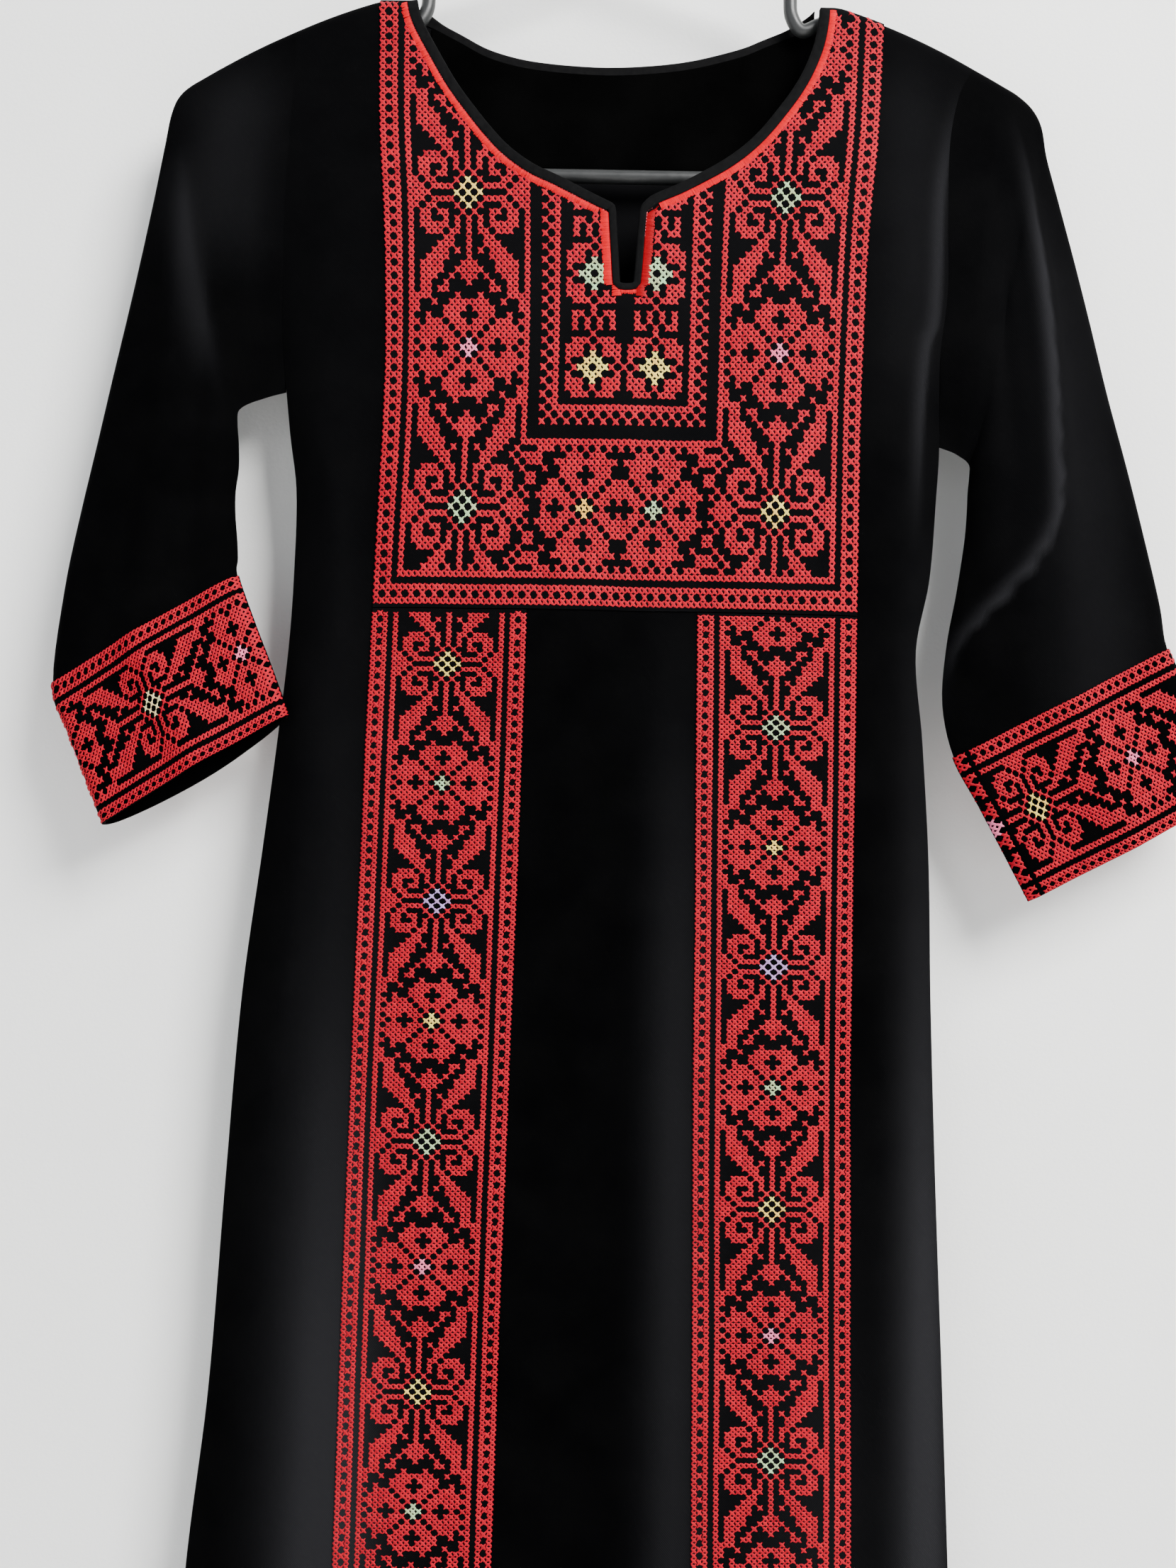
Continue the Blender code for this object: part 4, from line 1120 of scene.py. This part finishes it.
def sleeve_grid(rings, side, armpit_z, seed, back_drop):
    """Fine grid of a sleeve's inner face, rings along and stations around, and normals."""
    share, edges, edge_normals = armhole_edges(side, armpit_z)
    rows = []
    last = len(rings) - 1
    for index, ring in enumerate(rings):
        outer_z = float(seam_z(ring[0])) if ring[1] is None else ring[1]
        station_x = ring[0] + (ring[2] - ring[0]) * share
        station_z = outer_z + (ring[3] - outer_z) * share
        length = math.hypot(ring[2] - ring[0], ring[3] - outer_z)
        at_armhole = 1.0 - float(smooth(index / ARMHOLE_RINGS))
        halves = []
        for edge, sign in zip(edges, (-1.0, 1.0)):
            over = over_arm(share * length, SLEEVE_FOLD_RADIUS)
            full = ring[4] * (1.0 - share ** FLATNESS)
            if sign < 0:
                for cap, cuff, stands, width in SLEEVE_RIDGES:
                    middle = cap + (cuff - cap) * index / last
                    full = full + (stands * smooth(4.0 * index / last)
                                   * np.exp(-((share - middle) / width) ** 2)
                                   * (1.0 - share ** FLATNESS))
            free = np.minimum(over, full) + np.maximum(full - over, 0.0) * smooth(
                share * length / SLEEVE_RUN)
            depth = np.abs(edge[:, 1]) * at_armhole + free * (1.0 - at_armhole)
            if index == 0:
                half = edge.copy()
            else:
                half = np.stack([station_x, sign * depth - ring[5], station_z], axis=-1)
            half[0, 1] = half[-1, 1] = -ring[5]
            halves.append(half)
        rows.append(around_ring(*halves))
    coarse = np.array(rows)
    steps = SLEEVE_STEPS
    fine = []
    for index in range(last):
        before, start = coarse[max(index - 1, 0)], coarse[index]
        end, after = coarse[index + 1], coarse[min(index + 2, last)]
        for step_index in range(steps):
            t = step_index / steps
            fine.append(0.5 * ((2 * start) + (end - before) * t
                               + (2 * before - 5 * start + 4 * end - after) * t ** 2
                               + (3 * start - before - 3 * end + after) * t ** 3))
    fine.append(coarse[-1])
    grid = np.array(fine)
    if back_drop > 0.0:
        down = coarse[-1][0] - coarse[-3][0]
        down /= np.linalg.norm(down)
        late = smooth((np.arange(len(grid)) - (len(grid) - 1 - 2 * steps)) / (2 * steps))
        only_back = around_ring(0.0 * share, np.sin(np.pi * share) ** 0.6)
        grid = grid + (late[:, None] * only_back[None, :] * back_drop)[..., None] * down
    normals = grid_normals(grid)
    wide = np.sin(np.pi * around_ring(share, share)) ** 0.5
    fade = smooth(np.arange(len(grid)) / (2.0 * steps))[:, None]
    front = around_ring(np.ones(len(share)), np.full(len(share), 0.6))
    small = crease_depth(SLEEVE_CREASES, grid[..., 0], grid[..., 2]) * front
    small = small + 1.2 * unevenness(grid[..., 0], grid[..., 2], seed)
    grid = grid + normals * (small * wide * fade)[..., None]
    normals = grid_normals(grid)
    ring_normals = around_ring(*edge_normals)
    for corner, station in ((0, 0), (len(share) - 1, -1)):
        middle = edge_normals[0][station] + edge_normals[1][station]
        if np.linalg.norm(middle) > 0.2:
            ring_normals[corner] = middle / np.linalg.norm(middle)
        else:
            ring_normals[corner] = normals[0, corner]
    normals[0] = ring_normals
    return grid, normals


def grid_normals(grid):
    """Unit normals of a closed grid, turned away from its middle."""
    around = np.roll(grid, -1, axis=1) - np.roll(grid, 1, axis=1)
    along = np.gradient(grid, axis=0)
    normal = np.cross(around, along)
    normal /= np.maximum(np.linalg.norm(normal, axis=-1, keepdims=True), 1e-12)
    middle = grid.mean(axis=1, keepdims=True)
    away = np.einsum("ijk,ijk->ij", normal, grid - middle).sum()
    return normal if away > 0.0 else -normal


def grid_sampler(part, normals):
    """Function that places points on a closed grid, by its turn and its length."""
    rows, columns = part.shape[:2]
    ring = part[rows // 2]
    lengths = np.linalg.norm(np.roll(ring, -1, axis=0) - ring, axis=1)
    knots = np.concatenate([[0.0], np.cumsum(lengths)])
    knots /= knots[-1]

    def sample(values, row, column):
        low_row = np.clip(np.floor(row).astype(int), 0, rows - 2)
        low_column = np.floor(column).astype(int)
        row_share = (row - low_row)[..., None]
        column_share = (column - low_column)[..., None]
        one, two = low_column % columns, (low_column + 1) % columns
        top = values[low_row, one] * (1 - column_share) + values[low_row, two] * column_share
        foot = (values[low_row + 1, one] * (1 - column_share)
                + values[low_row + 1, two] * column_share)
        return top * (1 - row_share) + foot * row_share

    def at(around, down, lift):
        turns = np.floor(around)
        column = np.interp(around - turns, knots, np.arange(columns + 1)) + turns * columns
        row = np.clip(down, 0.0, 1.0) * (rows - 1)
        normal = sample(normals, row, column)
        normal /= np.linalg.norm(normal, axis=-1, keepdims=True)
        return sample(part, row, column) + normal * lift[..., None]

    return at


def cuff_cells(rows_around, stretches, bare_row, accents):
    """Cells of the band chart round the cuff: rows start at the outer edge. Each
    stretch gives its first row and what is taken from the row to find its mark."""
    cells = []
    for row in range(rows_around):
        if row == bare_row:
            continue
        start = [offset for first, offset in stretches if row >= first][-1]
        along = row - start
        for column in range(BAND_COLUMNS):
            out = abs(column - 14)
            if out == 11:
                continue
            if out == 13:
                mark = "#" if along % 2 == 0 else "."
            else:
                mark = "#" if out > 11 else quarter_mark(out, along)
            if mark != ".":
                cells.append(((row + 0.5) / rows_around, (column + 0.5) / BAND_COLUMNS,
                              0.5 / rows_around, 0.5 / BAND_COLUMNS,
                              thread_colour(mark, along, accents)))
    return cells


def add_sleeve(side_name, rings, side, armpit_z, cuff_ring, seed, back_drop, cells):
    grid, normals = sleeve_grid(rings, side, armpit_z, seed, back_drop)
    name = "sleeve_" + side_name + "_cloth"
    sleeve = link(name, shell(name, grid + normals * CLOTH, grid + normals * BODY_INNER,
                              closed=True), crepe)
    # Painted highlight stored on the sleeve
    set_painted_highlight(sleeve, SLEEVE_PAINTED_HIGHLIGHTS, sleeve_painted_highlight)
    first = cuff_ring * SLEEVE_STEPS
    part, part_normals = grid[first:], normals[first:]
    name = "cuff_" + side_name + "_ground"
    ground = link(name, shell(name, part + part_normals * GROUND_TOP,
                              part + part_normals * GROUND_FOOT, closed=True), crepe)
    stitches = add_stitches("cuff_" + side_name + "_stitches", cells,
                            grid_sampler(part, part_normals))
    return sleeve, ground, stitches


SLEEVE_STEPS = 5
LEFT_CUFF_CELLS = cuff_cells(104, ((0, 23), (52, 127)), 52, ("cream", "pink"))
RIGHT_CUFF_CELLS = cuff_cells(110, ((0, 44), (53, 30), (58, 154)), 52, ("yellow", "pink"))
chest_stitches = add_stitches("chest_panel_stitches", chest_cells(), front_at)
band_stitches = {
    "left": add_stitches("skirt_band_left_stitches", band_cells(1, 2, *LEFT_BAND), front_at),
    "right": add_stitches("skirt_band_right_stitches", band_cells(3, 4, *RIGHT_BAND), front_at),
}
sleeve_left, cuff_left, cuff_left_stitches = add_sleeve(
    "left", SLEEVE_LEFT_RINGS, -1, ARMPIT_LEFT_Z, LEFT_CUFF_RING, 1.1, 0.0045, LEFT_CUFF_CELLS)
sleeve_right, cuff_right, cuff_right_stitches = add_sleeve(
    "right", SLEEVE_RIGHT_RINGS, 1, ARMPIT_RIGHT_Z, RIGHT_CUFF_RING, 3.9, 0.0, RIGHT_CUFF_CELLS)


# Bindings and satin stitch round the neck

def neck_frame(path):
    """Along and outward directions at each point of a neck path."""
    along = np.gradient(path, axis=0)
    along /= np.linalg.norm(along, axis=1, keepdims=True)
    across = np.stack([along[:, 1], -along[:, 0]], axis=1)
    return along, across


def even_path(path, spacing):
    lengths = np.concatenate([[0.0], np.cumsum(np.linalg.norm(np.diff(path, axis=0), axis=1))])
    count = max(2, int(round(lengths[-1] / spacing)) + 1)
    at = np.linspace(0.0, lengths[-1], count)
    return np.stack([np.interp(at, lengths, path[:, k]) for k in range(2)], axis=1)


def add_binding(name, path, at, widths, top_lift, under_lift, edge_gap):
    """Folded strip that wraps the neck's edge: rounded outside, hollow inside."""
    _, across = neck_frame(path)
    thickness = 0.0006
    section = []
    for shrink in (0.0, thickness):
        line = []
        high, low = top_lift - shrink, under_lift + shrink
        middle, half = (high + low) / 2, (high - low) / 2
        reach = edge_gap + 0.0008 - shrink
        line.append((1.0, high - 0.0003))
        for share in (0.85, 0.6, 0.35, 0.15):
            crown = 0.00015 * math.sin(math.pi * share)
            line.append((share, high - 0.0001 + crown * (0.0 if shrink else 1.0)))
        for angle in (75, 50, 25, 0, -25, -50, -75):
            turn = math.radians(angle)
            line.append((-reach * math.cos(turn), middle + half * math.sin(turn)))
        for share in (0.2, 0.5, 0.8):
            line.append((share, low))
        section.append(line)
    grids = []
    for line in section:
        rows = []
        for offset, lift in line:
            out = widths * offset if offset >= 0.0 else np.full(len(path), offset)
            place = path + across * out[:, None]
            rows.append(at(place[:, 0], place[:, 1], np.full(len(path), lift)))
        grids.append(np.stack(rows, axis=1))
    return link(name, shell(name, grids[0], grids[1], sharp=70.0), binding_cloth)


SATIN_HEIGHT = 0.00060
SATIN_HALF_WIDTH = 0.00030
START_SPREAD, END_SPREAD, SIDE_SPREAD = 0.00008, 0.00020, 0.00012
SATIN_SHADE_SPREAD = 0.10


def add_satin(name, starts, ends, at, colours, lift):
    """Fine threads laid side by side, each from its start to its end."""
    count = len(starts)
    direction = (ends - starts) / np.linalg.norm(ends - starts, axis=1, keepdims=True)
    across = np.stack([-direction[:, 1], direction[:, 0]], axis=1)
    starts = starts + direction * rng.normal(0.0, START_SPREAD, (count, 1))
    ends = (ends + direction * rng.normal(0.0, END_SPREAD, (count, 1))
            + across * rng.normal(0.0, SIDE_SPREAD, (count, 1)))
    stations = np.array((0.0, 0.18, 0.5, 0.82, 1.0))
    heights = np.array((0.05, 0.75, 1.0, 0.75, 0.05)) * SATIN_HEIGHT
    half = SATIN_HALF_WIDTH
    points = np.zeros((count, len(stations), 3, 3))
    for index, (share, height) in enumerate(zip(stations, heights)):
        base = starts + (ends - starts) * share
        for lane, (offset, rise) in enumerate(((-half, 0.45), (0.0, 1.0), (half, 0.45))):
            place = base + across * offset
            points[:, index, lane] = at(place[:, 0], place[:, 1],
                                        np.full(count, lift + height * rise))
    per = len(stations) * 3
    faces = []
    for step in range(len(stations) - 1):
        for lane in range(2):
            corner = step * 3 + lane
            faces.append((corner, corner + 1, corner + 4, corner + 3))
    faces = (np.array(faces)[None] + (np.arange(count) * per)[:, None, None]).reshape(-1, 4)
    mesh = mesh_from(name, points, faces)
    shade = 1.0 + rng.normal(0.0, SATIN_SHADE_SPREAD, (count, 1))
    store_thread(mesh, np.repeat(colours * shade, per, axis=0))
    return link(name, mesh, thread)


def binding_width(path):
    """The binding is narrower along the slit."""
    return BINDING_WIDTH * (1.0 - 0.36 * smooth((-0.2080 - path[:, 1]) / 0.006))


front_edge = even_path(neck_path[neck_path[:, 1] < -0.1034], 0.0016)
neck_binding = add_binding("neck_binding_fold", front_edge, front_at, binding_width(front_edge),
                           GROUND_TOP + 0.0009, 0.0002, 0.0001)
back_edge = even_path(back_neck_path[back_neck_path[:, 1] < -0.1025], 0.0022)
back_binding = add_binding("back_neck_binding_fold", back_edge, back_at,
                           np.full(len(back_edge), BINDING_WIDTH), CLOTH + 0.0010, 0.0002, 0.0001)

SATIN_SPACING = 0.00042
SATIN_HEAD_Z = -0.1040
SATIN_OVERLAP = 0.0003
SLIT_BINDING = 0.0027
SLIT_LEFT_X, SLIT_RIGHT_X = -0.0012, 0.0235
SLIT_FOOT_Z = -0.2498
SLIT_SATIN_HEAD_Z, SLIT_SATIN_FOOT_Z = -0.2108, -0.2556
LEFT_SATIN, RIGHT_SATIN, FOOT_SATIN = 0.0044, 0.0042, 0.0023
MITRE = 1.44
BRIGHT_SATIN = (0.580, 0.0000, 0.0090)
# SHADED_SATIN is the satin red darkened: painted shade on the right side of the slit
SHADED_SATIN = (0.300, 0.0000, 0.0050)
EDGE_THREAD = (0.760, 0.1200, 0.1500)


def satin_threads():
    """Starts, ends and colours of the satin threads outside the neck's binding."""
    starts, ends, colours, feet = [], [], [], []
    path = even_path(neck_path[neck_path[:, 1] < SATIN_HEAD_Z], SATIN_SPACING)
    _, across = neck_frame(path)
    for side in (path[:, 0] < SLIT_LEFT_X, path[:, 0] > SLIT_RIGHT_X):
        starts.append(path[side] + across[side] * (BINDING_WIDTH - SATIN_OVERLAP))
        ends.append(path[side] + across[side] * (BINDING_WIDTH + SATIN_WIDTH - SATIN_OVERLAP))
        colours.append(np.tile(BRIGHT_SATIN, (side.sum(), 1)))
    z = np.arange(SLIT_SATIN_HEAD_Z, SLIT_SATIN_FOOT_Z, -SATIN_SPACING)
    knots = neck_path[(neck_path[:, 1] < SLIT_SATIN_HEAD_Z + 0.004)]
    for sign, width, near, colour in ((-1, LEFT_SATIN, SLIT_LEFT_X, BRIGHT_SATIN),
                                      (1, RIGHT_SATIN, SLIT_RIGHT_X, SHADED_SATIN)):
        middle = 0.5 * (SLIT_LEFT_X + SLIT_RIGHT_X)
        edge = knots[(knots[:, 0] - middle) * sign > 0.0]
        edge = edge[np.argsort(edge[:, 1])]
        x = np.interp(z, edge[:, 1], edge[:, 0]) + sign * SLIT_BINDING
        corner = near + sign * 0.0022 - sign * MITRE * (SLIT_SATIN_HEAD_Z - z)
        first = np.maximum(x, corner) if sign > 0 else np.minimum(x, corner)
        starts.append(np.stack([first, z], axis=1))
        ends.append(np.stack([x + sign * width, z - 0.0003], axis=1))
        colours.append(np.tile(colour, (len(z), 1)))
        feet.append(x[-1])
    x = np.arange(*feet, SATIN_SPACING)
    head = SLIT_FOOT_Z - SLIT_BINDING + 0.0002
    starts.append(np.stack([x, np.full(len(x), head)], axis=1))
    ends.append(np.stack([x, np.full(len(x), head - FOOT_SATIN)], axis=1))
    colours.append(np.tile(BRIGHT_SATIN, (len(x), 1)))
    return np.concatenate(starts), np.concatenate(ends), np.concatenate(colours)


def edge_threads():
    """Short pink threads that show along the outer edge of the binding."""
    path = even_path(neck_path, 0.0014)
    along, across = neck_frame(path)
    width = binding_width(path)[:, None]
    shown = (path[:, 1] < -0.1060) & ((path[:, 0] < 0.0) | (
        (path[:, 0] > 0.0110) & (path[:, 0] < 0.0195) & (path[:, 1] > -0.2260)))
    start = (path + across * (width - 0.0001))[shown]
    return start, start + along[shown] * 0.0009, np.tile(EDGE_THREAD, (shown.sum(), 1))


starts, ends, colours = (np.concatenate(pair) for pair in zip(satin_threads(), edge_threads()))
neck_satin = add_satin("neck_satin_stitch", starts, ends, front_at, colours, GROUND_TOP)


# Facing inside the back neck

FACING_LEFT_X, FACING_RIGHT_X = -0.090, 0.097
FACING_FOOT_Z = -0.1800
FACING_DROP = 0.0040
FACING_LIFT = 0.0005
FACING_GAP = 0.0001
RIDGE_Z, RIDGE_WIDTH, RIDGE_LIFT = -0.1782, 0.0012, 0.0004


def add_facing():
    """Facing inside the back neck, with a ridge where its edge is turned."""
    x = np.linspace(FACING_LEFT_X, FACING_RIGHT_X, 66)[None, :]
    edge = np.interp(x, back_neck_path[:, 0], back_neck_path[:, 1])
    head = edge - FACING_DROP
    share = np.linspace(0.0, 1.0, 26)[:, None]
    z = head + (FACING_FOOT_Z - head) * share
    x = x + 0.0 * z
    ridge = RIDGE_LIFT * np.exp(-((z - RIDGE_Z) / RIDGE_WIDTH) ** 2)
    near = back_at(x, z, -FACING_LIFT - ridge)
    far = back_at(x, z, np.full(x.shape, -FACING_GAP))
    return link("back_neck_facing_cloth", shell("back_neck_facing_cloth", near, far), facing_cloth)


facing = add_facing()


# Hanger

def tube(name, path, radius, cyclic):
    """Round tube along a path in the hanger's plane."""
    sides = 20
    count = len(path)
    if cyclic:
        along = np.roll(path, -1, axis=0) - np.roll(path, 1, axis=0)
    else:
        along = np.gradient(path, axis=0)
    along /= np.linalg.norm(along, axis=1, keepdims=True)
    out = np.stack([along[:, 1], -along[:, 0]], axis=1)
    turn = np.linspace(0.0, 2 * math.pi, sides, endpoint=False)
    radius = np.broadcast_to(radius, (count,))[:, None]
    x = path[:, :1] + out[:, :1] * radius * np.cos(turn)
    z = path[:, 1:] + out[:, 1:] * radius * np.cos(turn)
    y = radius * np.sin(turn)
    points = np.stack([x, y + 0 * x, z], axis=-1)
    if cyclic:
        faces = (grid_faces(count + 1, sides, closed=True) % (count * sides)).tolist()
    else:
        faces = grid_faces(count, sides, closed=True).tolist()
        faces.append(list(range(sides))[::-1])
        faces.append([(count - 1) * sides + index for index in range(sides)])
    mesh = bpy.data.meshes.new(name)
    mesh.from_pydata(points.reshape(-1, 3).tolist(), [], faces)
    mesh.update()
    work = bmesh.new()
    work.from_mesh(mesh)
    bmesh.ops.recalc_face_normals(work, faces=work.faces)
    work.to_mesh(mesh)
    work.free()
    mesh.shade_smooth()
    return link(name, mesh, plastic)


def add_hanger():
    """Arms and bar as one closed loop of tube, joined to the hook."""
    side = [(0.0, APEX_Z), (0.030, APEX_Z - 0.0100), (0.060, APEX_Z - 0.0200),
            (0.082, APEX_Z - 0.0275), (0.0905, APEX_Z - 0.0345), (0.0920, -0.1030),
            (0.0975, -0.1110), (0.1070, -0.1075), (ARM_START_X, ARM_START_Z),
            (0.140, float(arm_z(0.140))), (0.165, float(arm_z(0.165))), (0.1900, -0.1412),
            (0.2010, -0.1475), (0.2068, -0.1555), (0.2087, -0.1650), (0.2060, -0.1760),
            (0.1980, -0.1840), (0.1840, -0.1878), (0.150, BAR_Z), (0.075, BAR_Z), (0.0, BAR_Z)]
    right = rounded_path(side, 6)
    left = right[::-1][1:-1] * np.array([-1.0, 1.0])
    frame_tube = tube("hanger_tube", np.concatenate([right, left]), TUBE_RADIUS, True)
    angles = np.radians(np.linspace(200.0, -55.0, 60))
    hook = np.stack([HOOK_RADIUS * np.cos(angles), HOOK_CENTRE_Z + HOOK_RADIUS * np.sin(angles)],
                    axis=1)
    foot = rounded_path([hook[-1], (0.0055, -0.0425), (0.0010, -0.0480), (0.0, APEX_Z)], 6)[1:]
    hook_path = np.concatenate([hook, foot])
    thick = np.full(len(hook_path), TUBE_RADIUS)
    thick[-6:] = TUBE_RADIUS * np.linspace(1.0, 1.12, 6)
    hook_tube = tube("hanger_hook", hook_path, thick, False)
    join = frame_tube.modifiers.new("Hook", "BOOLEAN")
    join.operation = "UNION"
    join.object = hook_tube
    join.solver = "EXACT"
    baked(frame_tube)
    frame_tube.data.shade_smooth()
    frame_tube.data.set_sharp_from_angle(angle=math.radians(40.0))
    bpy.data.objects.remove(hook_tube, do_unlink=True)
    return frame_tube


hanger = add_hanger()
for cutter in (front_cutter, back_cutter):
    bpy.data.objects.remove(cutter, do_unlink=True)


# What each piece stands for

PIECES = (
    (front_body, "black_crepe", ("front_body",)),
    (back_body, "black_crepe", ("back_body",)),
    (sleeve_left, "black_crepe", ("sleeve_left",)),
    (sleeve_right, "black_crepe", ("sleeve_right",)),
    (chest_ground, "black_crepe", ()),
    (chest_stitches, "red_cross_stitch", ("chest_panel",)),
    (band_grounds["left"], "black_crepe", ()),
    (band_stitches["left"], "red_cross_stitch", ("skirt_band_left",)),
    (band_grounds["right"], "black_crepe", ()),
    (band_stitches["right"], "red_cross_stitch", ("skirt_band_right",)),
    (cuff_left, "black_crepe", ()),
    (cuff_left_stitches, "red_cross_stitch", ("cuff_left",)),
    (cuff_right, "black_crepe", ()),
    (cuff_right_stitches, "red_cross_stitch", ("cuff_right",)),
    (neck_binding, "black_binding", ("neck_binding",)),
    (neck_satin, "red_cross_stitch", ()),
    (back_binding, "black_binding", ("back_neck_binding",)),
    (facing, "black_crepe", ("back_neck_facing",)),
    (hanger, "hanger_grey", ("hanger",)),
)
for piece, slot_name, stood_for in PIECES:
    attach(piece, "root")
    if stood_for:
        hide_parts(*stood_for)

# Each sheet as it was cut: width, length, what it hangs on, area and pieces on it
SHEETS = (
    (front_body, 0.410, 1.100, ("hanger",), 0.379, ()),
    (back_body, 0.410, 1.100, ("hanger",), 0.383, ()),
    (sleeve_left, 0.300, 0.330, ("front_body", "back_body"), 0.0625, ()),
    (sleeve_right, 0.310, 0.345, ("front_body", "back_body"), 0.0717, ()),
    (chest_ground, 0.253, 0.309, ("front_body",), 0.0588, (chest_stitches, neck_satin)),
    (band_grounds["left"], 0.075, 0.781, ("front_body",), None, (band_stitches["left"],)),
    (band_grounds["right"], 0.076, 0.781, ("front_body",), None, (band_stitches["right"],)),
    (cuff_left, 0.226, 0.0735, ("sleeve_left",), None, (cuff_left_stitches,)),
    (cuff_right, 0.247, 0.0785, ("sleeve_right",), None, (cuff_right_stitches,)),
    (neck_binding, 0.012, 0.370, ("front_body",), None, ()),
    (back_binding, 0.012, 0.206, ("back_body",), None, ()),
    (facing, 0.187, 0.068, ("back_body",), 0.0103, ()),
)
for piece, width, length, rests_on, area, pieces_on_it in SHEETS:
    list(rests_on)
    list(pieces_on_it)


# Stage, light and camera

def stage_material(name, colour, one_sided):
    """Pale plaster with fine grain; seen from behind, the wall lets light by."""
    material, tree, shader = nodes_of(name)
    plain = millimetres(tree)
    tone = ramp(tree, noise(tree, plain, 0.012, 4.0),
                (0.3, tuple(0.97 * part for part in colour)), (0.7, colour))
    tree.links.new(tone, shader.inputs["Base Color"])
    tree.links.new(bump(tree, noise(tree, plain, 0.55, 4.0), 0.0004, 0.35),
                   shader.inputs["Normal"])
    shader.inputs["Roughness"].default_value = 0.9
    if one_sided:
        output = tree.nodes["Material Output"]
        geometry = tree.nodes.new("ShaderNodeNewGeometry")
        clear = tree.nodes.new("ShaderNodeBsdfTransparent")
        mix = tree.nodes.new("ShaderNodeMixShader")
        tree.links.new(geometry.outputs["Backfacing"], mix.inputs["Fac"])
        tree.links.new(shader.outputs["BSDF"], mix.inputs[1])
        tree.links.new(clear.outputs["BSDF"], mix.inputs[2])
        tree.links.new(mix.outputs["Shader"], output.inputs["Surface"])
    return material


def stage_plane(name, corners, material):
    mesh = bpy.data.meshes.new(name)
    mesh.from_pydata(corners, [], [(0, 1, 2, 3)])
    mesh.update()
    plane = link(name, mesh, material)
    return plane


WALL_Y = 0.034
FLOOR_Z = -1.235
stage_plane("wall", [(-3.0, WALL_Y, FLOOR_Z), (3.0, WALL_Y, FLOOR_Z),
                     (3.0, WALL_Y, 2.0), (-3.0, WALL_Y, 2.0)],
            stage_material("wall_plaster", (0.90, 0.905, 0.89), True))
stage_plane("floor", [(-4.0, -4.0, FLOOR_Z), (4.0, -4.0, FLOOR_Z),
                      (4.0, 4.0, FLOOR_Z), (-4.0, 4.0, FLOOR_Z)],
            stage_material("floor_pale", (0.80, 0.79, 0.775), False))


def add_light(name, place, aim, size, power, colour):
    lamp = bpy.data.lights.new(name, "AREA")
    lamp.size = size
    lamp.energy = power
    lamp.color = colour
    holder = bpy.data.objects.new(name, lamp)
    bpy.context.scene.collection.objects.link(holder)
    holder.location = place
    holder.rotation_euler = (Vector(aim) - Vector(place)).to_track_quat("-Z", "Y").to_euler()


AIM = (0.0, 0.0, -0.55)
add_light("key", (1.1, -1.5, 0.75), AIM, 1.0, 128.0, (1.0, 0.99, 0.975))
add_light("fill", (-1.5, -1.7, -0.2), AIM, 1.8, 12.0, (0.96, 0.98, 1.0))
add_light("behind", (0.3, 1.6, 0.6), AIM, 1.6, 30.0, (1.0, 1.0, 1.0))
world = bpy.data.worlds.new("studio")
bpy.context.scene.world = world
world.use_nodes = True
world.node_tree.nodes["Background"].inputs["Color"].default_value = (0.92, 0.95, 1.0, 1.0)
world.node_tree.nodes["Background"].inputs["Strength"].default_value = 0.72

PITCH, ROLL = math.radians(2.9), math.radians(1.0)
ahead = Vector((0.0, math.cos(PITCH), math.sin(PITCH)))
level_right = Vector((1.0, 0.0, 0.0))
upright = level_right.cross(ahead)
rolled_right = level_right * math.cos(ROLL) + upright * math.sin(ROLL)
rolled_up = -level_right * math.sin(ROLL) + upright * math.cos(ROLL)
camera_data = bpy.data.cameras.new("camera")
camera_data.lens = 37.2474
camera_data.sensor_width = 36.0
camera = bpy.data.objects.new("camera", camera_data)
bpy.context.scene.collection.objects.link(camera)
turned = Matrix((rolled_right, rolled_up, -ahead)).transposed().to_4x4()
camera.matrix_world = Matrix.Translation((-0.004, -0.8, -0.53452625)) @ turned
bpy.context.scene.camera = camera
